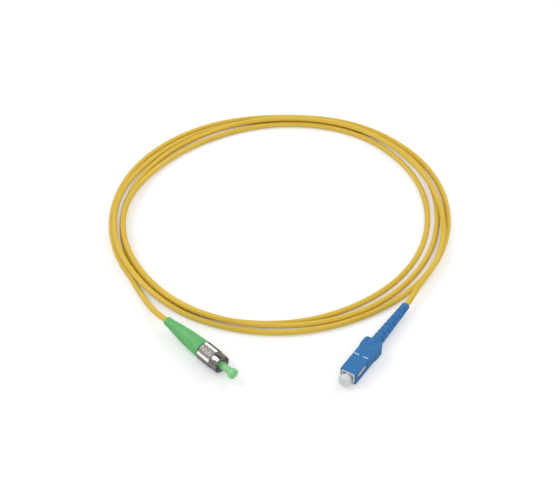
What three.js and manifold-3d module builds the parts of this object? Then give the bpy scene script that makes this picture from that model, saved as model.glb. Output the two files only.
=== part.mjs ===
// Fibre optic patch cord: about two metres of 3 mm single-fibre cable laid in a loose coil, with an
// angled screw-nut plug (FC type) on one end and a push-pull plug (SC type) on the other, both capped.
// Millimetres, +Z up. The cord lies on the plane z = 0. The origin is on that plane, under the middle
// of the two plugs, with +Y pointing from the plugs towards the coil.

import * as THREE from 'three';
import { mergeVertices } from 'three/addons/utils/BufferGeometryUtils.js';
import Module from 'manifold-3d';

const wasm = await Module();
wasm.setup();

// ---------------------------------------------------------------- sizes shared by both plugs
const JACKET_D = 3.0; // cable jacket
const BUFFER_D = 0.9; // buffered fibre inside the cable
const FERRULE_D = 2.5; // ceramic ferrule
const FIT = 0.1; // radial gap of pieces that are pressed together
const RUN = 0.15; // radial gap of pieces that slide or turn
const SEAT = 0.15; // gap along the axis where one piece seats on another
const TRAVEL = 1.0; // how far a ferrule can be pushed back on its spring
const END_GAP = 0.3; // a cap's bore ends this far ahead of the ferrule's tip

const FERRULE_CHAMFER = 0.375; // edge of the ferrule's tip
const HOLDER_D = 4.1; // collar that carries the ferrule
const HOLDER_TAIL_D = 2.3; // its tail, inside the spring
const HOLDER_WALL = 0.85; // collar floor behind the ferrule
const HOLDER_NOTCH = 0.5; // depth and half-width of the collar's four tuning notches
const TAIL_LENGTH = 4.9;
const SPRING_WIRE = 0.5;
const SPRING_CURLS = 7;
const SPRING_STEPS = 8; // steps a curl
const SPRING_SIDES = 5;
const SPRING_OVERLAP = 0.3; // the spring ends this far ahead of the pushed-back tail
const POST_D = 3.1; // crimp post of the rear body
const POST_LENGTH = 6.6;
const POST_GROOVES = 4;
const POST_GROOVE_DEPTH = 0.15;
const FLANGE_LENGTH = 1.4; // rear body's flange behind the plug body
const YARN_WALL = 0.3; // folded aramid yarn under the crimp sleeve
const SLEEVE_WALL = 0.45;
const SLEEVE_TAIL = 4.2; // crimp sleeve's neck on the jacket
const TUBE_WALL = 0.25; // soft guide tube round the buffered fibre

// ---------------------------------------------------------------- FC plug, x = 0 at the nut's front
const FC_NUT_D = 10.0;
const FC_NUT_LENGTH = 14.0;
const FC_NUT_RING_D = 9.5; // smooth ring ahead of the knurl
const FC_NUT_RING_LENGTH = 4.2;
const FC_NUT_GROOVE = 0.5;
const FC_NUT_BORE_D = 7.7; // thread bore
const FC_NUT_REAR_WALL = 1.5;
const FC_KNURLS = 36;
const FC_KNURL_DEPTH = 0.3;
const FC_KNURL_CREST = [0.35, 0.65]; // where a rib's crest starts and ends, as shares of its pitch
const FC_NUT_NECK = 0.6; // depth of the groove between the ring and the knurl
const FC_NUT_EDGE = 0.3; // chamfers of the nut's mouth
const FC_BARREL_D = 6.2;
const FC_BARREL_EDGE = 0.3; // chamfer of the barrel's front
const FC_KEY_ROOT = 0.4; // how deep the key is rooted in the barrel
const FC_BARREL_RECESS = 1.2; // barrel front behind the nut's front
const FC_BARREL_LENGTH = 17.8;
const FC_SHOULDER_D = 7.2;
const FC_SHOULDER_LENGTH = 1.1;
const FC_NUT_PLAY = 1.2; // the nut's free slide along the barrel
const FC_WASHER_LENGTH = 0.6; // ring that keeps the nut on the barrel
const FC_KEY_WIDTH = 2.0;
const FC_KEY_LENGTH = 4.2;
const FC_KEY_HEIGHT = 0.45;
const FC_CAVITY_DEPTH = 4.2; // open front of the barrel round the ferrule
const FC_LIP = 1.0; // inner lip that stops the ferrule's collar
const FC_BORE_D = 4.4;
const FC_FERRULE_LENGTH = 12.0;
const FC_SOCKET = 2.1; // ferrule inside its holder
const FC_TIP_ANGLE = 8; // degrees, the ferrule's polished end
const FC_BOOT_FRONT_D = 9.5;
const FC_BOOT_REAR_D = 4.8;
const FC_BOOT_LENGTH = 28.3;
const FC_BOOT_SWELL = 0.35; // how far the boot stands out of a straight cone at its middle
const FC_BOOT_COLLAR = 2.4; // straight length at the boot's rear
const FC_BOOT_SHOULDER = 1.6; // and at its front
const FC_BOOT_ROUND = 0.5; // rounding of the rear edge
const FC_BOOT_EDGE = 0.3; // chamfer of the front edge
const FC_BOOT_STATIONS = 6;
const FC_CAP_STEM_D = 3.7;
const FC_CAP_KNOB_D = 5.5;
const FC_CAP_KNOB_LENGTH = 2.6;
const FC_CAP_KNOB_ROUND = 0.7;
const FC_CAP_FILLET = 0.4; // between the stem and the knob
const FC_CAP_REACH = 9.2; // cap's tip ahead of the nut
const FC_CAP_DIMPLE = 0.3; // depth of the shallow dish in the knob's face
const FC_CAP_DIMPLE_D = 2.2;

// ---------------------------------------------------------------- SC plug, x = 0 at the grip's front
const SC_GRIP_LENGTH = 26.0;
const SC_GRIP_WIDTH = 9.0;
const SC_GRIP_HEIGHT = 7.4;
const SC_GRIP_REAR_WIDTH = 10.0;
const SC_GRIP_FLARE = 7.0; // length of the wide finger grip at the rear
const SC_GRIP_EASE = 1.6; // half the length over which it widens
const SC_GRIP_TAIL = { length: 2.0, width: 2.2 }; // rounding of its rear corners, seen from above
const SC_GRIP_NOSE = 0.4; // chamfer of its front corners, seen from above
const SC_GRIP_EDGE = 0.5; // chamfer along the grip's long edges
const SC_CAVITY_CORNER = 0.4; // chamfer inside the grip
const SC_KEY_WIDTH = 2.2;
const SC_KEY_HEIGHT = 0.4;
const SC_KEY_LENGTH = 9.0;
const SC_KEY_SETBACK = 0.6; // key rib behind the grip's front
const SC_KEY_ROOT = 0.2; // how deep the rib is rooted in the grip
const SC_FRAME_WIDTH = 7.2;
const SC_FRAME_HEIGHT = 5.8;
const SC_FRAME_PROUD = 0.4; // frame front ahead of the grip's front
const SC_FRAME_LENGTH = 20.9;
const SC_FRAME_WALL = 0.6;
const SC_FRAME_EDGE = 0.6; // chamfer along the frame's long edges
const SC_FRAME_MOUTH = 0.5; // chamfer along the edges of its cavity
const SC_FRAME_GAP = 0.2; // grip runs on the frame
const SC_CAVITY_DEPTH = 5.6;
const SC_LIP = 1.0;
const SC_BORE_D = 4.6;
const SC_WINDOW = [-11.2, -1.9]; // side windows of the grip, along x
const SC_WINDOW_HEIGHT = 3.9;
const SC_RECESS = [-10.6, -2.4]; // recess in each side of the frame, along x
const SC_RECESS_HEIGHT = 3.0;
const SC_RECESS_DROP = 0.3; // its middle lies this far under the plug's axis
const SC_RECESS_WALL = 0.4; // wall that it leaves beside the frame's bore
const SC_OPENING = 0.4; // where it opens into the cavity, it reaches this far past the wall
const SC_LATCH = 1.6; // the grip's free slide back along the frame
const SC_LEDGE = [-18.2, -16.6]; // frame ledges that stop that slide
const SC_LEDGE_PROUD = 0.4;
const SC_LEDGE_HEIGHT = 3.4;
const SC_MARK_X = -12.4; // the two insertion marks on top of the grip
const SC_MARK_LENGTH = 3.0;
const SC_MARK_WIDTH = 0.7;
const SC_MARK_OFFSET = 2.6;
const SC_MARK_DEPTH = 0.2;
const SC_FERRULE_LENGTH = 10.5;
const SC_SOCKET = 2.9;
const SC_BOOT_D = 6.1;
const SC_BOOT_REAR_D = 4.3;
const SC_BOOT_LENGTH = 33.0; // length that shows behind the grip
const SC_BOOT_NECK = 1.0; // length that stays straight behind the grip's slide
const SC_BOOT_EDGE = 0.35; // chamfer of the rear edge
const SC_BOOT_RINGS = 9;
const SC_BOOT_PITCH = 3.1;
const SC_BOOT_SLOT = 1.3;
const SC_BOOT_SLOT_DEPTH = 0.75;
const SC_BOOT_WALL = 0.3; // least wall under a slot
const SC_BOOT_WEB = 0.9; // width of the webs that bridge a slot
const SC_CAP_STEM_D = 4.4;
const SC_CAP_HEAD_D = 6.4;
const SC_CAP_HEAD_LENGTH = 3.8;
const SC_CAP_HEAD_ROUND = 1.4;
const SC_CAP_EDGE = 0.35; // chamfers of the head's rear and the stem's end

// ---------------------------------------------------------------- where the pieces lie
const FC_FRONT = [-32.4, -15.9]; // nut front, on plan
const FC_YAW = -47.0; // degrees, the way the plug points
const SC_FRONT = [29.6, -22.6];
const SC_YAW = -122.4;
const COIL_CENTRE = [-3.5, 101.0];
const COIL_RADIUS = 88.0;
const COIL_START = 210; // degrees, where the coil starts: eight o'clock from above
const HOUR = 30; // degrees, clockwise
const CORD_PITCH = 3.45; // centre to centre of strands that touch

// The coil runs clockwise seen from above, from eight o'clock round to four o'clock three turns later.
// One row a turn, one column an hour, nine o'clock first: how far each pass lies outside the mean
// radius, and how far it is lifted, 0 on the table and 1 on top of a strand.
const FIRST_PASS = { radius: 5.4, lift: 0 };
const PASS_RADIUS = [
  [5.4, 5.8, 5.0, 3.4, 6.8, 6.8, 4.8, 3.0, 1.9, 2.8, 3.6, 4.2],
  [3.5, 2.1, 1.3, -0.1, 3.2, 3.1, -1.0, -2.4, -1.8, -0.6, 1.3, 0.0],
  [-1.7, -5.8, -6.7, -3.8, -1.4, -3.7, -6.5, -7.6, -7.0, -3.8, -0.5, 0.4],
  [-0.7, -1.5, -2.5, -1.9, 0.9, -0.6, 1.1, 4.4],
];
const PASS_LIFT = [
  [0, 0, 0, 0, 0, 0, 0, 0, 0, 0, 0, 0.94],
  [0.96, 0.2, 0, 0, 0, 0, 0, 0, 0, 0.46, 0.9, 1.02],
  [1.02, 0.26, 0, 0, 0, 0, 0, 0, 0, 0, 0, 0],
  [0, 0, 0.38, 0.9, 0.81, 1.02, 0.99, 1.02],
];
const COIL_STEPS = 24; // steps a loop
const COIL_SIDES = 6;
const LEAD_SIDES = 8;
const LEAD_STEP = 7.5; // length of a lead's steps
const LEAD_STRAIGHT = 1.5; // straight length of a lead behind its boot
const MEET = 0.3; // gap where a lead and the coil meet face to face
const FC_LEAD_ROUTE = [
  [-64.8, 18.9, 4.6],
  [-69.0, 24.8, 3.2],
  [-74.0, 33.8, 1.9],
  [-79.0, 43.6, 1.5],
];
const SC_LEAD_ROUTE = [
  [64.3, 32.7, 4.2],
  [66.8, 37.8, 4.4],
  [69.8, 43.4, 4.8],
];

const FINE = 32; // facets round the pieces that show
const PLAIN = 20; // facets round the inner pieces
const SMALL = 10; // facets round the fibre
const OVERCUT = 1.0; // how far a cutter reaches past what it cuts

// ---------------------------------------------------------------- finishes
const finish = (color, roughness, metalness) => new THREE.MeshStandardMaterial({ color, roughness, metalness });
const finishes = {
  jacket: () => finish(0xd9b548, 0.45, 0),
  green: () => finish(0x74c97c, 0.5, 0),
  capGreen: () => finish(0x9ddc9c, 0.4, 0),
  blue: () => finish(0x3f7fc0, 0.4, 0),
  white: () => finish(0xeef0f2, 0.4, 0),
  clear: () => finish(0xc9cccd, 0.3, 0),
  nickel: () => finish(0xa8a39c, 0.25, 1),
  steel: () => finish(0x9a9da0, 0.35, 1),
  ceramic: () => finish(0xf4f2ea, 0.2, 0),
  soft: () => finish(0xe4e2da, 0.6, 0),
  yarn: () => finish(0xd8b23a, 0.8, 0),
};

// ---------------------------------------------------------------- solids
function facingOut(geometry) {
  const p = geometry.attributes.position;
  const index = geometry.index.array;
  const [a, b, c] = [new THREE.Vector3(), new THREE.Vector3(), new THREE.Vector3()];
  let volume = 0;
  for (let i = 0; i < index.length; i += 3) {
    a.fromBufferAttribute(p, index[i]);
    b.fromBufferAttribute(p, index[i + 1]);
    c.fromBufferAttribute(p, index[i + 2]);
    volume += a.dot(b.cross(c));
  }
  if (volume < 0) {
    for (let i = 0; i < index.length; i += 3) {
      [index[i], index[i + 1]] = [index[i + 1], index[i]];
    }
  }
  return geometry;
}

function solid(geometry) {
  const bare = geometry.clone();
  bare.deleteAttribute('normal');
  bare.deleteAttribute('uv');
  const merged = facingOut(mergeVertices(bare, 1e-4));
  const vertProperties = new Float32Array(merged.attributes.position.array);
  const kept = [];
  const index = merged.index.array;
  for (let i = 0; i < index.length; i += 3) {
    const [u, v, w] = [index[i], index[i + 1], index[i + 2]];
    if (u !== v && v !== w && w !== u) kept.push(u, v, w);
  }
  return new wasm.Manifold(new wasm.Mesh({ numProp: 3, vertProperties, triVerts: new Uint32Array(kept) }));
}

function geometryOf(body) {
  const mesh = body.getMesh();
  const geometry = new THREE.BufferGeometry();
  geometry.setAttribute('position', new THREE.BufferAttribute(new Float32Array(mesh.vertProperties), 3));
  geometry.setIndex(new THREE.BufferAttribute(new Uint32Array(mesh.triVerts), 1));
  geometry.computeVertexNormals();
  return geometry;
}

function piece(name, body, material) {
  const mesh = new THREE.Mesh(geometryOf(body), material);
  mesh.name = name;
  return mesh;
}

// A solid of revolution about +X. The profile is a loop of [x, radius] points; it may run on the axis.
function turned(profile, facets) {
  const points = profile.map(([x, r]) => new THREE.Vector2(r, x));
  if (profile[0][1] > 0) points.push(points[0].clone());
  return solid(new THREE.LatheGeometry(points, facets).rotateZ(-Math.PI / 2));
}

// A turned tube from its outer steps and its bore steps, each a list of [x, radius] from rear to front.
function turnedTube(outer, bore, facets) {
  return turned([...outer, ...[...bore].reverse()], facets);
}

const step = (rear, front, r) => [[rear, r], [front, r]];

// An outer corner at [x, r], rounded. ahead is 1 at the front of a body and -1 at its rear. The points
// run from the end face to the side.
function roundedCorner(x, r, size, ahead, stretches = 2) {
  return Array.from({ length: stretches + 1 }, (_, k) => {
    const angle = (k / stretches) * (Math.PI / 2);
    return [x - ahead * size * (1 - Math.cos(angle)), r - size * (1 - Math.sin(angle))];
  });
}

// A plain round cutter along the axis, from x = rear to x = front.
const rod = (rear, front, r, facets) => turned([[rear, 0], [rear, r], [front, r], [front, 0]], facets);

// A prism along +X of a rounded or chamfered rectangle, width along Y and height along Z.
function bar(rear, front, width, height, corner = 0, y = 0, z = 0) {
  const [w, h, c] = [width / 2, height / 2, corner];
  const outline = new THREE.Shape();
  const corners = [[w - c, -h], [w, -h + c], [w, h - c], [w - c, h], [-w + c, h], [-w, h - c], [-w, -h + c], [-w + c, -h]];
  const plain = [[w, -h], [w, h], [-w, h], [-w, -h]];
  outline.setFromPoints((c > 0 ? corners : plain).map(([u, v]) => new THREE.Vector2(u + y, v + z)));
  return prism(outline, rear, front);
}

// A shape drawn in the Y-Z plane, made a prism from x = rear to x = front.
function prism(outline, rear, front) {
  const geometry = new THREE.ExtrudeGeometry(outline, { depth: front - rear, bevelEnabled: false });
  geometry.applyMatrix4(new THREE.Matrix4().makeBasis(
    new THREE.Vector3(0, 1, 0),
    new THREE.Vector3(0, 0, 1),
    new THREE.Vector3(1, 0, 0),
  ));
  return solid(geometry.translate(rear, 0, 0));
}

// A closed solid through rings of points, each ring with as many points as the first.
function loft(rings) {
  const sides = rings[0].length;
  const positions = rings.flat().flatMap((point) => point.toArray());
  const index = [];
  for (let i = 0; i < rings.length - 1; i += 1) {
    for (let k = 0; k < sides; k += 1) {
      const [a, b] = [i * sides + k, i * sides + ((k + 1) % sides)];
      index.push(a, b, b + sides, a, b + sides, a + sides);
    }
  }
  const last = (rings.length - 1) * sides;
  for (let k = 1; k < sides - 1; k += 1) {
    index.push(0, k + 1, k, last, last + k, last + k + 1);
  }
  const geometry = new THREE.BufferGeometry();
  geometry.setAttribute('position', new THREE.Float32BufferAttribute(positions, 3));
  geometry.setIndex(index);
  return solid(geometry);
}

// A tube swept through points. Each ring lies square to the path, turned by a fixed reference.
function sweep(points, sides, radius, reference, phase = 0) {
  return loft(points.map((point, i) => {
    const back = points[Math.max(i - 1, 0)];
    const ahead = points[Math.min(i + 1, points.length - 1)];
    const along = ahead.clone().sub(back).normalize();
    const side = along.clone().cross(reference).normalize();
    const up = side.clone().cross(along);
    return Array.from({ length: sides }, (_, k) => {
      const angle = phase + (2 * Math.PI * k) / sides;
      const out = side.clone().multiplyScalar(Math.cos(angle)).addScaledVector(up, Math.sin(angle));
      return point.clone().addScaledVector(out, radius);
    });
  }));
}

// ---------------------------------------------------------------- pieces that both plugs have
// A plug's inner pieces follow each other from the lip back. lip is the lip's rear face, bodyRear the
// plug body's rear face, socket the ferrule's seat in its holder, bore the plug body's bore diameter.
function innards(lip, bodyRear, socket, ferruleLength, bore) {
  const collarFront = lip - SEAT;
  const ferruleRear = collarFront - socket;
  const collarRear = ferruleRear - SEAT - HOLDER_WALL;
  const tailRear = collarRear - TAIL_LENGTH;
  const springRear = tailRear - TRAVEL + SPRING_OVERLAP;
  const flangeFront = bodyRear - SEAT;
  const flangeRear = flangeFront - FLANGE_LENGTH;
  const postRear = flangeRear - POST_LENGTH;
  const sleeveStep = postRear - SEAT;
  const jacketFront = sleeveStep - 2 * SEAT;
  const yarnD = POST_D + 2 * FIT + 2 * YARN_WALL;
  return {
    bore, collarFront, ferruleRear, collarRear, tailRear, springRear, flangeFront, flangeRear, postRear,
    sleeveStep, jacketFront, yarnD,
    tip: ferruleRear + ferruleLength,
    springFront: collarRear - SEAT,
    spigotFront: springRear - SEAT,
    fibreRear: jacketFront + TRAVEL + SEAT,
    sleeveFront: flangeRear - SEAT,
    sleeveRear: sleeveStep - SLEEVE_TAIL,
    sleeveBore: yarnD / 2 + FIT,
    neckBore: JACKET_D / 2 + FIT,
  };
}

function ferrule(at, tipAngle) {
  const r = FERRULE_D / 2;
  const chamfer = FERRULE_CHAMFER;
  const outline = [[at.ferruleRear, 0], [at.ferruleRear, r], [at.tip - chamfer, r], [at.tip, r - chamfer], [at.tip, 0]];
  const body = turned(outline, PLAIN);
  if (tipAngle === 0) return body;
  const cutter = new THREE.BoxGeometry(FERRULE_D, 2 * FERRULE_D, 2 * FERRULE_D);
  const slope = THREE.MathUtils.degToRad(tipAngle);
  cutter.translate(FERRULE_D / 2, 0, 0).rotateY(slope);
  const drop = (r - chamfer) * Math.tan(slope);
  return body.subtract(solid(cutter.translate(at.tip - drop, 0, 0)));
}

function ferruleHolder(at) {
  const [collar, tail] = [HOLDER_D / 2, HOLDER_TAIL_D / 2];
  const socket = FERRULE_D / 2 + FIT;
  const throat = BUFFER_D / 2 + RUN;
  const floor = at.ferruleRear - SEAT;
  let body = turnedTube(
    [...step(at.tailRear, at.collarRear, tail), ...step(at.collarRear, at.collarFront, collar)],
    [...step(at.tailRear, floor, throat), ...step(floor, at.collarFront, socket)],
    PLAIN,
  );
  for (let quarter = 0; quarter < 4; quarter += 1) {
    const notch = new THREE.BoxGeometry(2 * HOLDER_NOTCH, 2 * HOLDER_NOTCH, HOLDER_NOTCH);
    notch.translate(at.collarRear, 0, collar).rotateX((quarter * Math.PI) / 2 + Math.PI / 4);
    body = body.subtract(solid(notch));
  }
  return body;
}

function spring(at) {
  const mean = (HOLDER_TAIL_D + at.bore) / 4;
  const points = [];
  const steps = SPRING_CURLS * SPRING_STEPS;
  const [rear, front] = [at.springRear + SPRING_WIRE / 2, at.springFront - SPRING_WIRE / 2];
  for (let i = 0; i <= steps; i += 1) {
    const angle = (i / SPRING_STEPS) * 2 * Math.PI;
    const x = rear + ((front - rear) * i) / steps;
    points.push(new THREE.Vector3(x, mean * Math.cos(angle), mean * Math.sin(angle)));
  }
  return sweep(points, SPRING_SIDES, SPRING_WIRE / 2, new THREE.Vector3(1, 0, 0));
}

// The rear body closes the plug: a spigot behind the spring, a flange, and the grooved crimp post.
function rearBody(at, flangeD) {
  const spigot = at.bore / 2 - FIT;
  const post = POST_D / 2;
  const outer = [];
  const pitch = POST_LENGTH / (2 * POST_GROOVES + 1);
  for (let i = 0; i <= 2 * POST_GROOVES; i += 1) {
    const x = at.postRear + i * pitch;
    outer.push(...step(x, x + pitch, i % 2 === 0 ? post : post - POST_GROOVE_DEPTH));
  }
  outer.push(...step(at.flangeRear, at.flangeFront, flangeD / 2));
  outer.push(...step(at.flangeFront, at.spigotFront, spigot));
  const guide = BUFFER_D / 2 + RUN + TUBE_WALL + FIT;
  const wide = HOLDER_TAIL_D / 2 + RUN;
  const bore = [...step(at.postRear, at.flangeFront, guide), ...step(at.flangeFront, at.spigotFront, wide)];
  return turnedTube(outer, bore, PLAIN);
}

function guideTube(at) {
  const r = BUFFER_D / 2 + RUN;
  return turnedTube(step(at.postRear, at.flangeFront, r + TUBE_WALL), step(at.postRear, at.flangeFront, r), PLAIN);
}

function bufferedFibre(at) {
  const r = BUFFER_D / 2;
  const front = at.ferruleRear - SEAT;
  return rod(at.fibreRear, front, r, SMALL);
}

function yarnSleeve(at) {
  const [rear, front] = [at.postRear + SEAT, at.sleeveFront - SEAT];
  return turnedTube(step(rear, front, at.yarnD / 2), step(rear, front, POST_D / 2 + FIT), PLAIN);
}

function crimpSleeve(at) {
  const outer = [
    ...step(at.sleeveRear, at.sleeveStep - SLEEVE_WALL, at.neckBore + SLEEVE_WALL),
    ...step(at.sleeveStep, at.sleeveFront, at.sleeveBore + SLEEVE_WALL),
  ];
  const bore = [
    ...step(at.sleeveRear, at.sleeveStep, at.neckBore),
    ...step(at.sleeveStep, at.sleeveFront, at.sleeveBore),
  ];
  return turnedTube(outer, bore, PLAIN);
}

// The bore of a boot from its rear: round the jacket, round the crimp sleeve's neck, round the sleeve.
function bootBore(at, rear, front) {
  const neck = at.neckBore + SLEEVE_WALL + RUN;
  const sleeve = at.sleeveBore + SLEEVE_WALL + RUN;
  return [
    ...step(rear, at.sleeveRear - SEAT, JACKET_D / 2 + RUN),
    ...step(at.sleeveRear - SEAT, at.sleeveStep - SLEEVE_WALL - SEAT, neck),
    ...step(at.sleeveStep - SLEEVE_WALL - SEAT, front, sleeve),
  ];
}

// ---------------------------------------------------------------- FC plug
const fcBarrelFront = -FC_BARREL_RECESS;
const fcBarrelRear = fcBarrelFront - FC_BARREL_LENGTH;
const fcKeyFront = fcBarrelFront - FC_BARREL_EDGE;
const fcLipFront = fcBarrelFront - FC_CAVITY_DEPTH;
const fcLipRear = fcLipFront - FC_LIP;
const fcNutWall = -FC_NUT_LENGTH + FC_NUT_REAR_WALL;
const fcWasherRear = fcNutWall + SEAT;
const fcWasherFront = fcWasherRear + FC_WASHER_LENGTH;
const fcShoulderRear = fcWasherFront + SEAT + FC_NUT_PLAY;
const fcShoulderFront = fcShoulderRear + FC_SHOULDER_LENGTH;
const fcBootFront = -FC_NUT_LENGTH - 2 * SEAT;
const fcBootRear = fcBootFront - FC_BOOT_LENGTH;
const fc = innards(fcLipRear, fcBarrelRear, FC_SOCKET, FC_FERRULE_LENGTH, FC_BORE_D);

// The knurled part of the nut: one toothed outline at every station, drawn in at the ends.
function fcKnurl(rear, front) {
  const [crest, root] = [FC_NUT_D / 2, FC_NUT_D / 2 - FC_KNURL_DEPTH];
  const tooth = [[0, root], ...FC_KNURL_CREST.map((share) => [share, crest])];
  const ring = (x, limit) => {
    const points = [];
    for (let i = 0; i < FC_KNURLS; i += 1) {
      tooth.forEach(([share, r]) => {
        const angle = ((i + share) / FC_KNURLS) * 2 * Math.PI;
        const reach = Math.min(r, limit);
        points.push(new THREE.Vector3(x, reach * Math.cos(angle), reach * Math.sin(angle)));
      });
    }
    return points;
  };
  return loft([
    ring(rear, root), ring(rear + FC_KNURL_DEPTH, crest), ring(front - FC_KNURL_DEPTH, crest), ring(front, root),
  ]);
}

function fcCouplingNut() {
  const rear = -FC_NUT_LENGTH;
  const knurlFront = -FC_NUT_RING_LENGTH - FC_NUT_GROOVE;
  const ring = FC_NUT_RING_D / 2;
  const edge = FC_NUT_EDGE;
  const neck = FC_NUT_D / 2 - FC_NUT_NECK;
  const core = turned([
    [rear + edge, 0], [rear + edge, neck], [-FC_NUT_RING_LENGTH, neck], [-FC_NUT_RING_LENGTH, ring],
    [-edge, ring], [0, ring - edge], [0, 0],
  ], FINE);
  const threadBore = FC_NUT_BORE_D / 2;
  const rearBore = FC_BARREL_D / 2 + RUN;
  const cut = turned([
    [rear - OVERCUT, 0], [rear - OVERCUT, rearBore], [fcNutWall, rearBore], [fcNutWall, threadBore],
    [-edge, threadBore], [0, threadBore + edge], [OVERCUT, threadBore + edge], [OVERCUT, 0],
  ], FINE);
  return fcKnurl(rear, knurlFront).add(core).subtract(cut);
}

function fcRetainingRing() {
  const outer = FC_NUT_BORE_D / 2 - RUN;
  const inner = FC_BARREL_D / 2 + RUN;
  return turnedTube(step(fcWasherRear, fcWasherFront, outer), step(fcWasherRear, fcWasherFront, inner), FINE);
}

function fcBarrel() {
  const r = FC_BARREL_D / 2;
  const body = turnedTube(
    [
      ...step(fcBarrelRear, fcShoulderRear, r),
      ...step(fcShoulderRear, fcShoulderFront, FC_SHOULDER_D / 2),
      ...step(fcShoulderFront, fcKeyFront, r),
      [fcBarrelFront, r - FC_BARREL_EDGE],
    ],
    [
      ...step(fcBarrelRear, fcLipRear, FC_BORE_D / 2),
      ...step(fcLipRear, fcLipFront, FERRULE_D / 2 + 2 * FIT),
      ...step(fcLipFront, fcBarrelFront, FC_BORE_D / 2),
    ],
    FINE,
  );
  const [root, top] = [r - FC_KEY_ROOT, r + FC_KEY_HEIGHT];
  return body.add(bar(fcKeyFront - FC_KEY_LENGTH, fcKeyFront, FC_KEY_WIDTH, top - root, 0, 0, (top + root) / 2));
}

function fcBoot() {
  const [front, rear] = [FC_BOOT_FRONT_D / 2, FC_BOOT_REAR_D / 2];
  const outer = roundedCorner(fcBootRear, rear, FC_BOOT_ROUND, -1);
  const taperFrom = fcBootRear + FC_BOOT_COLLAR;
  const taperTo = fcBootFront - FC_BOOT_SHOULDER;
  for (let i = 0; i <= FC_BOOT_STATIONS; i += 1) {
    const share = i / FC_BOOT_STATIONS;
    const swell = FC_BOOT_SWELL * Math.sin(Math.PI * share);
    outer.push([taperFrom + (taperTo - taperFrom) * share, rear + (front - rear) * share + swell]);
  }
  outer.push([fcBootFront - FC_BOOT_EDGE, front], [fcBootFront, front - FC_BOOT_EDGE]);
  const bore = bootBore(fc, fcBootRear, fc.flangeRear - SEAT);
  bore.push(...step(fc.flangeRear - SEAT, fcBootFront, FC_BARREL_D / 2 + RUN));
  return turnedTube(outer, bore, FINE);
}

function fcDustCap() {
  const [stem, knob] = [FC_CAP_STEM_D / 2, FC_CAP_KNOB_D / 2];
  const rear = fcLipFront + TRAVEL + SEAT;
  const [front, knobRear] = [FC_CAP_REACH, FC_CAP_REACH - FC_CAP_KNOB_LENGTH];
  const bore = FERRULE_D / 2 + FIT;
  const blind = fc.tip + END_GAP;
  const dish = [front - FC_CAP_DIMPLE, FC_CAP_DIMPLE_D / 2];
  return turned([
    [rear, bore], [blind, bore], [blind + bore / 2, 0], [dish[0], 0], dish, [front, dish[1] + FC_CAP_DIMPLE],
    ...roundedCorner(front, knob, FC_CAP_KNOB_ROUND, 1),
    ...roundedCorner(knobRear, knob, FC_CAP_KNOB_ROUND, -1).reverse(),
    [knobRear - FC_CAP_FILLET, stem], [rear, stem],
  ], FINE);
}

// ---------------------------------------------------------------- SC plug
const scFrameFront = SC_FRAME_PROUD;
const scFrameRear = scFrameFront - SC_FRAME_LENGTH;
const scLipFront = scFrameFront - SC_CAVITY_DEPTH;
const scLipRear = scLipFront - SC_LIP;
const sc = innards(scLipRear, scFrameRear, SC_SOCKET, SC_FERRULE_LENGTH, SC_BORE_D);
const scCavityWidth = SC_FRAME_WIDTH + 2 * SC_FRAME_GAP;
const scCavityHeight = SC_FRAME_HEIGHT + 2 * SC_FRAME_GAP;
const scBootRear = -SC_GRIP_LENGTH - SC_BOOT_LENGTH;
const scBootFront = sc.sleeveFront;

// The grip from above: a chamfered nose, straight sides, a wider finger grip, and rounded rear corners.
function scGripPlan(rear, waist) {
  const [w, wide] = [SC_GRIP_WIDTH / 2, SC_GRIP_REAR_WIDTH / 2];
  const [widened, tail] = [waist - SC_GRIP_EASE, SC_GRIP_TAIL];
  const plan = new THREE.Shape();
  plan.moveTo(0, -w + SC_GRIP_NOSE);
  plan.lineTo(-SC_GRIP_NOSE, -w);
  plan.lineTo(waist + SC_GRIP_EASE, -w);
  plan.quadraticCurveTo(waist, -w, widened, -wide);
  plan.lineTo(rear + tail.length, -wide);
  plan.quadraticCurveTo(rear, -wide, rear, -wide + tail.width);
  plan.lineTo(rear, wide - tail.width);
  plan.quadraticCurveTo(rear, wide, rear + tail.length, wide);
  plan.lineTo(widened, wide);
  plan.quadraticCurveTo(waist, w, waist + SC_GRIP_EASE, w);
  plan.lineTo(-SC_GRIP_NOSE, w);
  plan.lineTo(0, w - SC_GRIP_NOSE);
  return plan;
}

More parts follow.
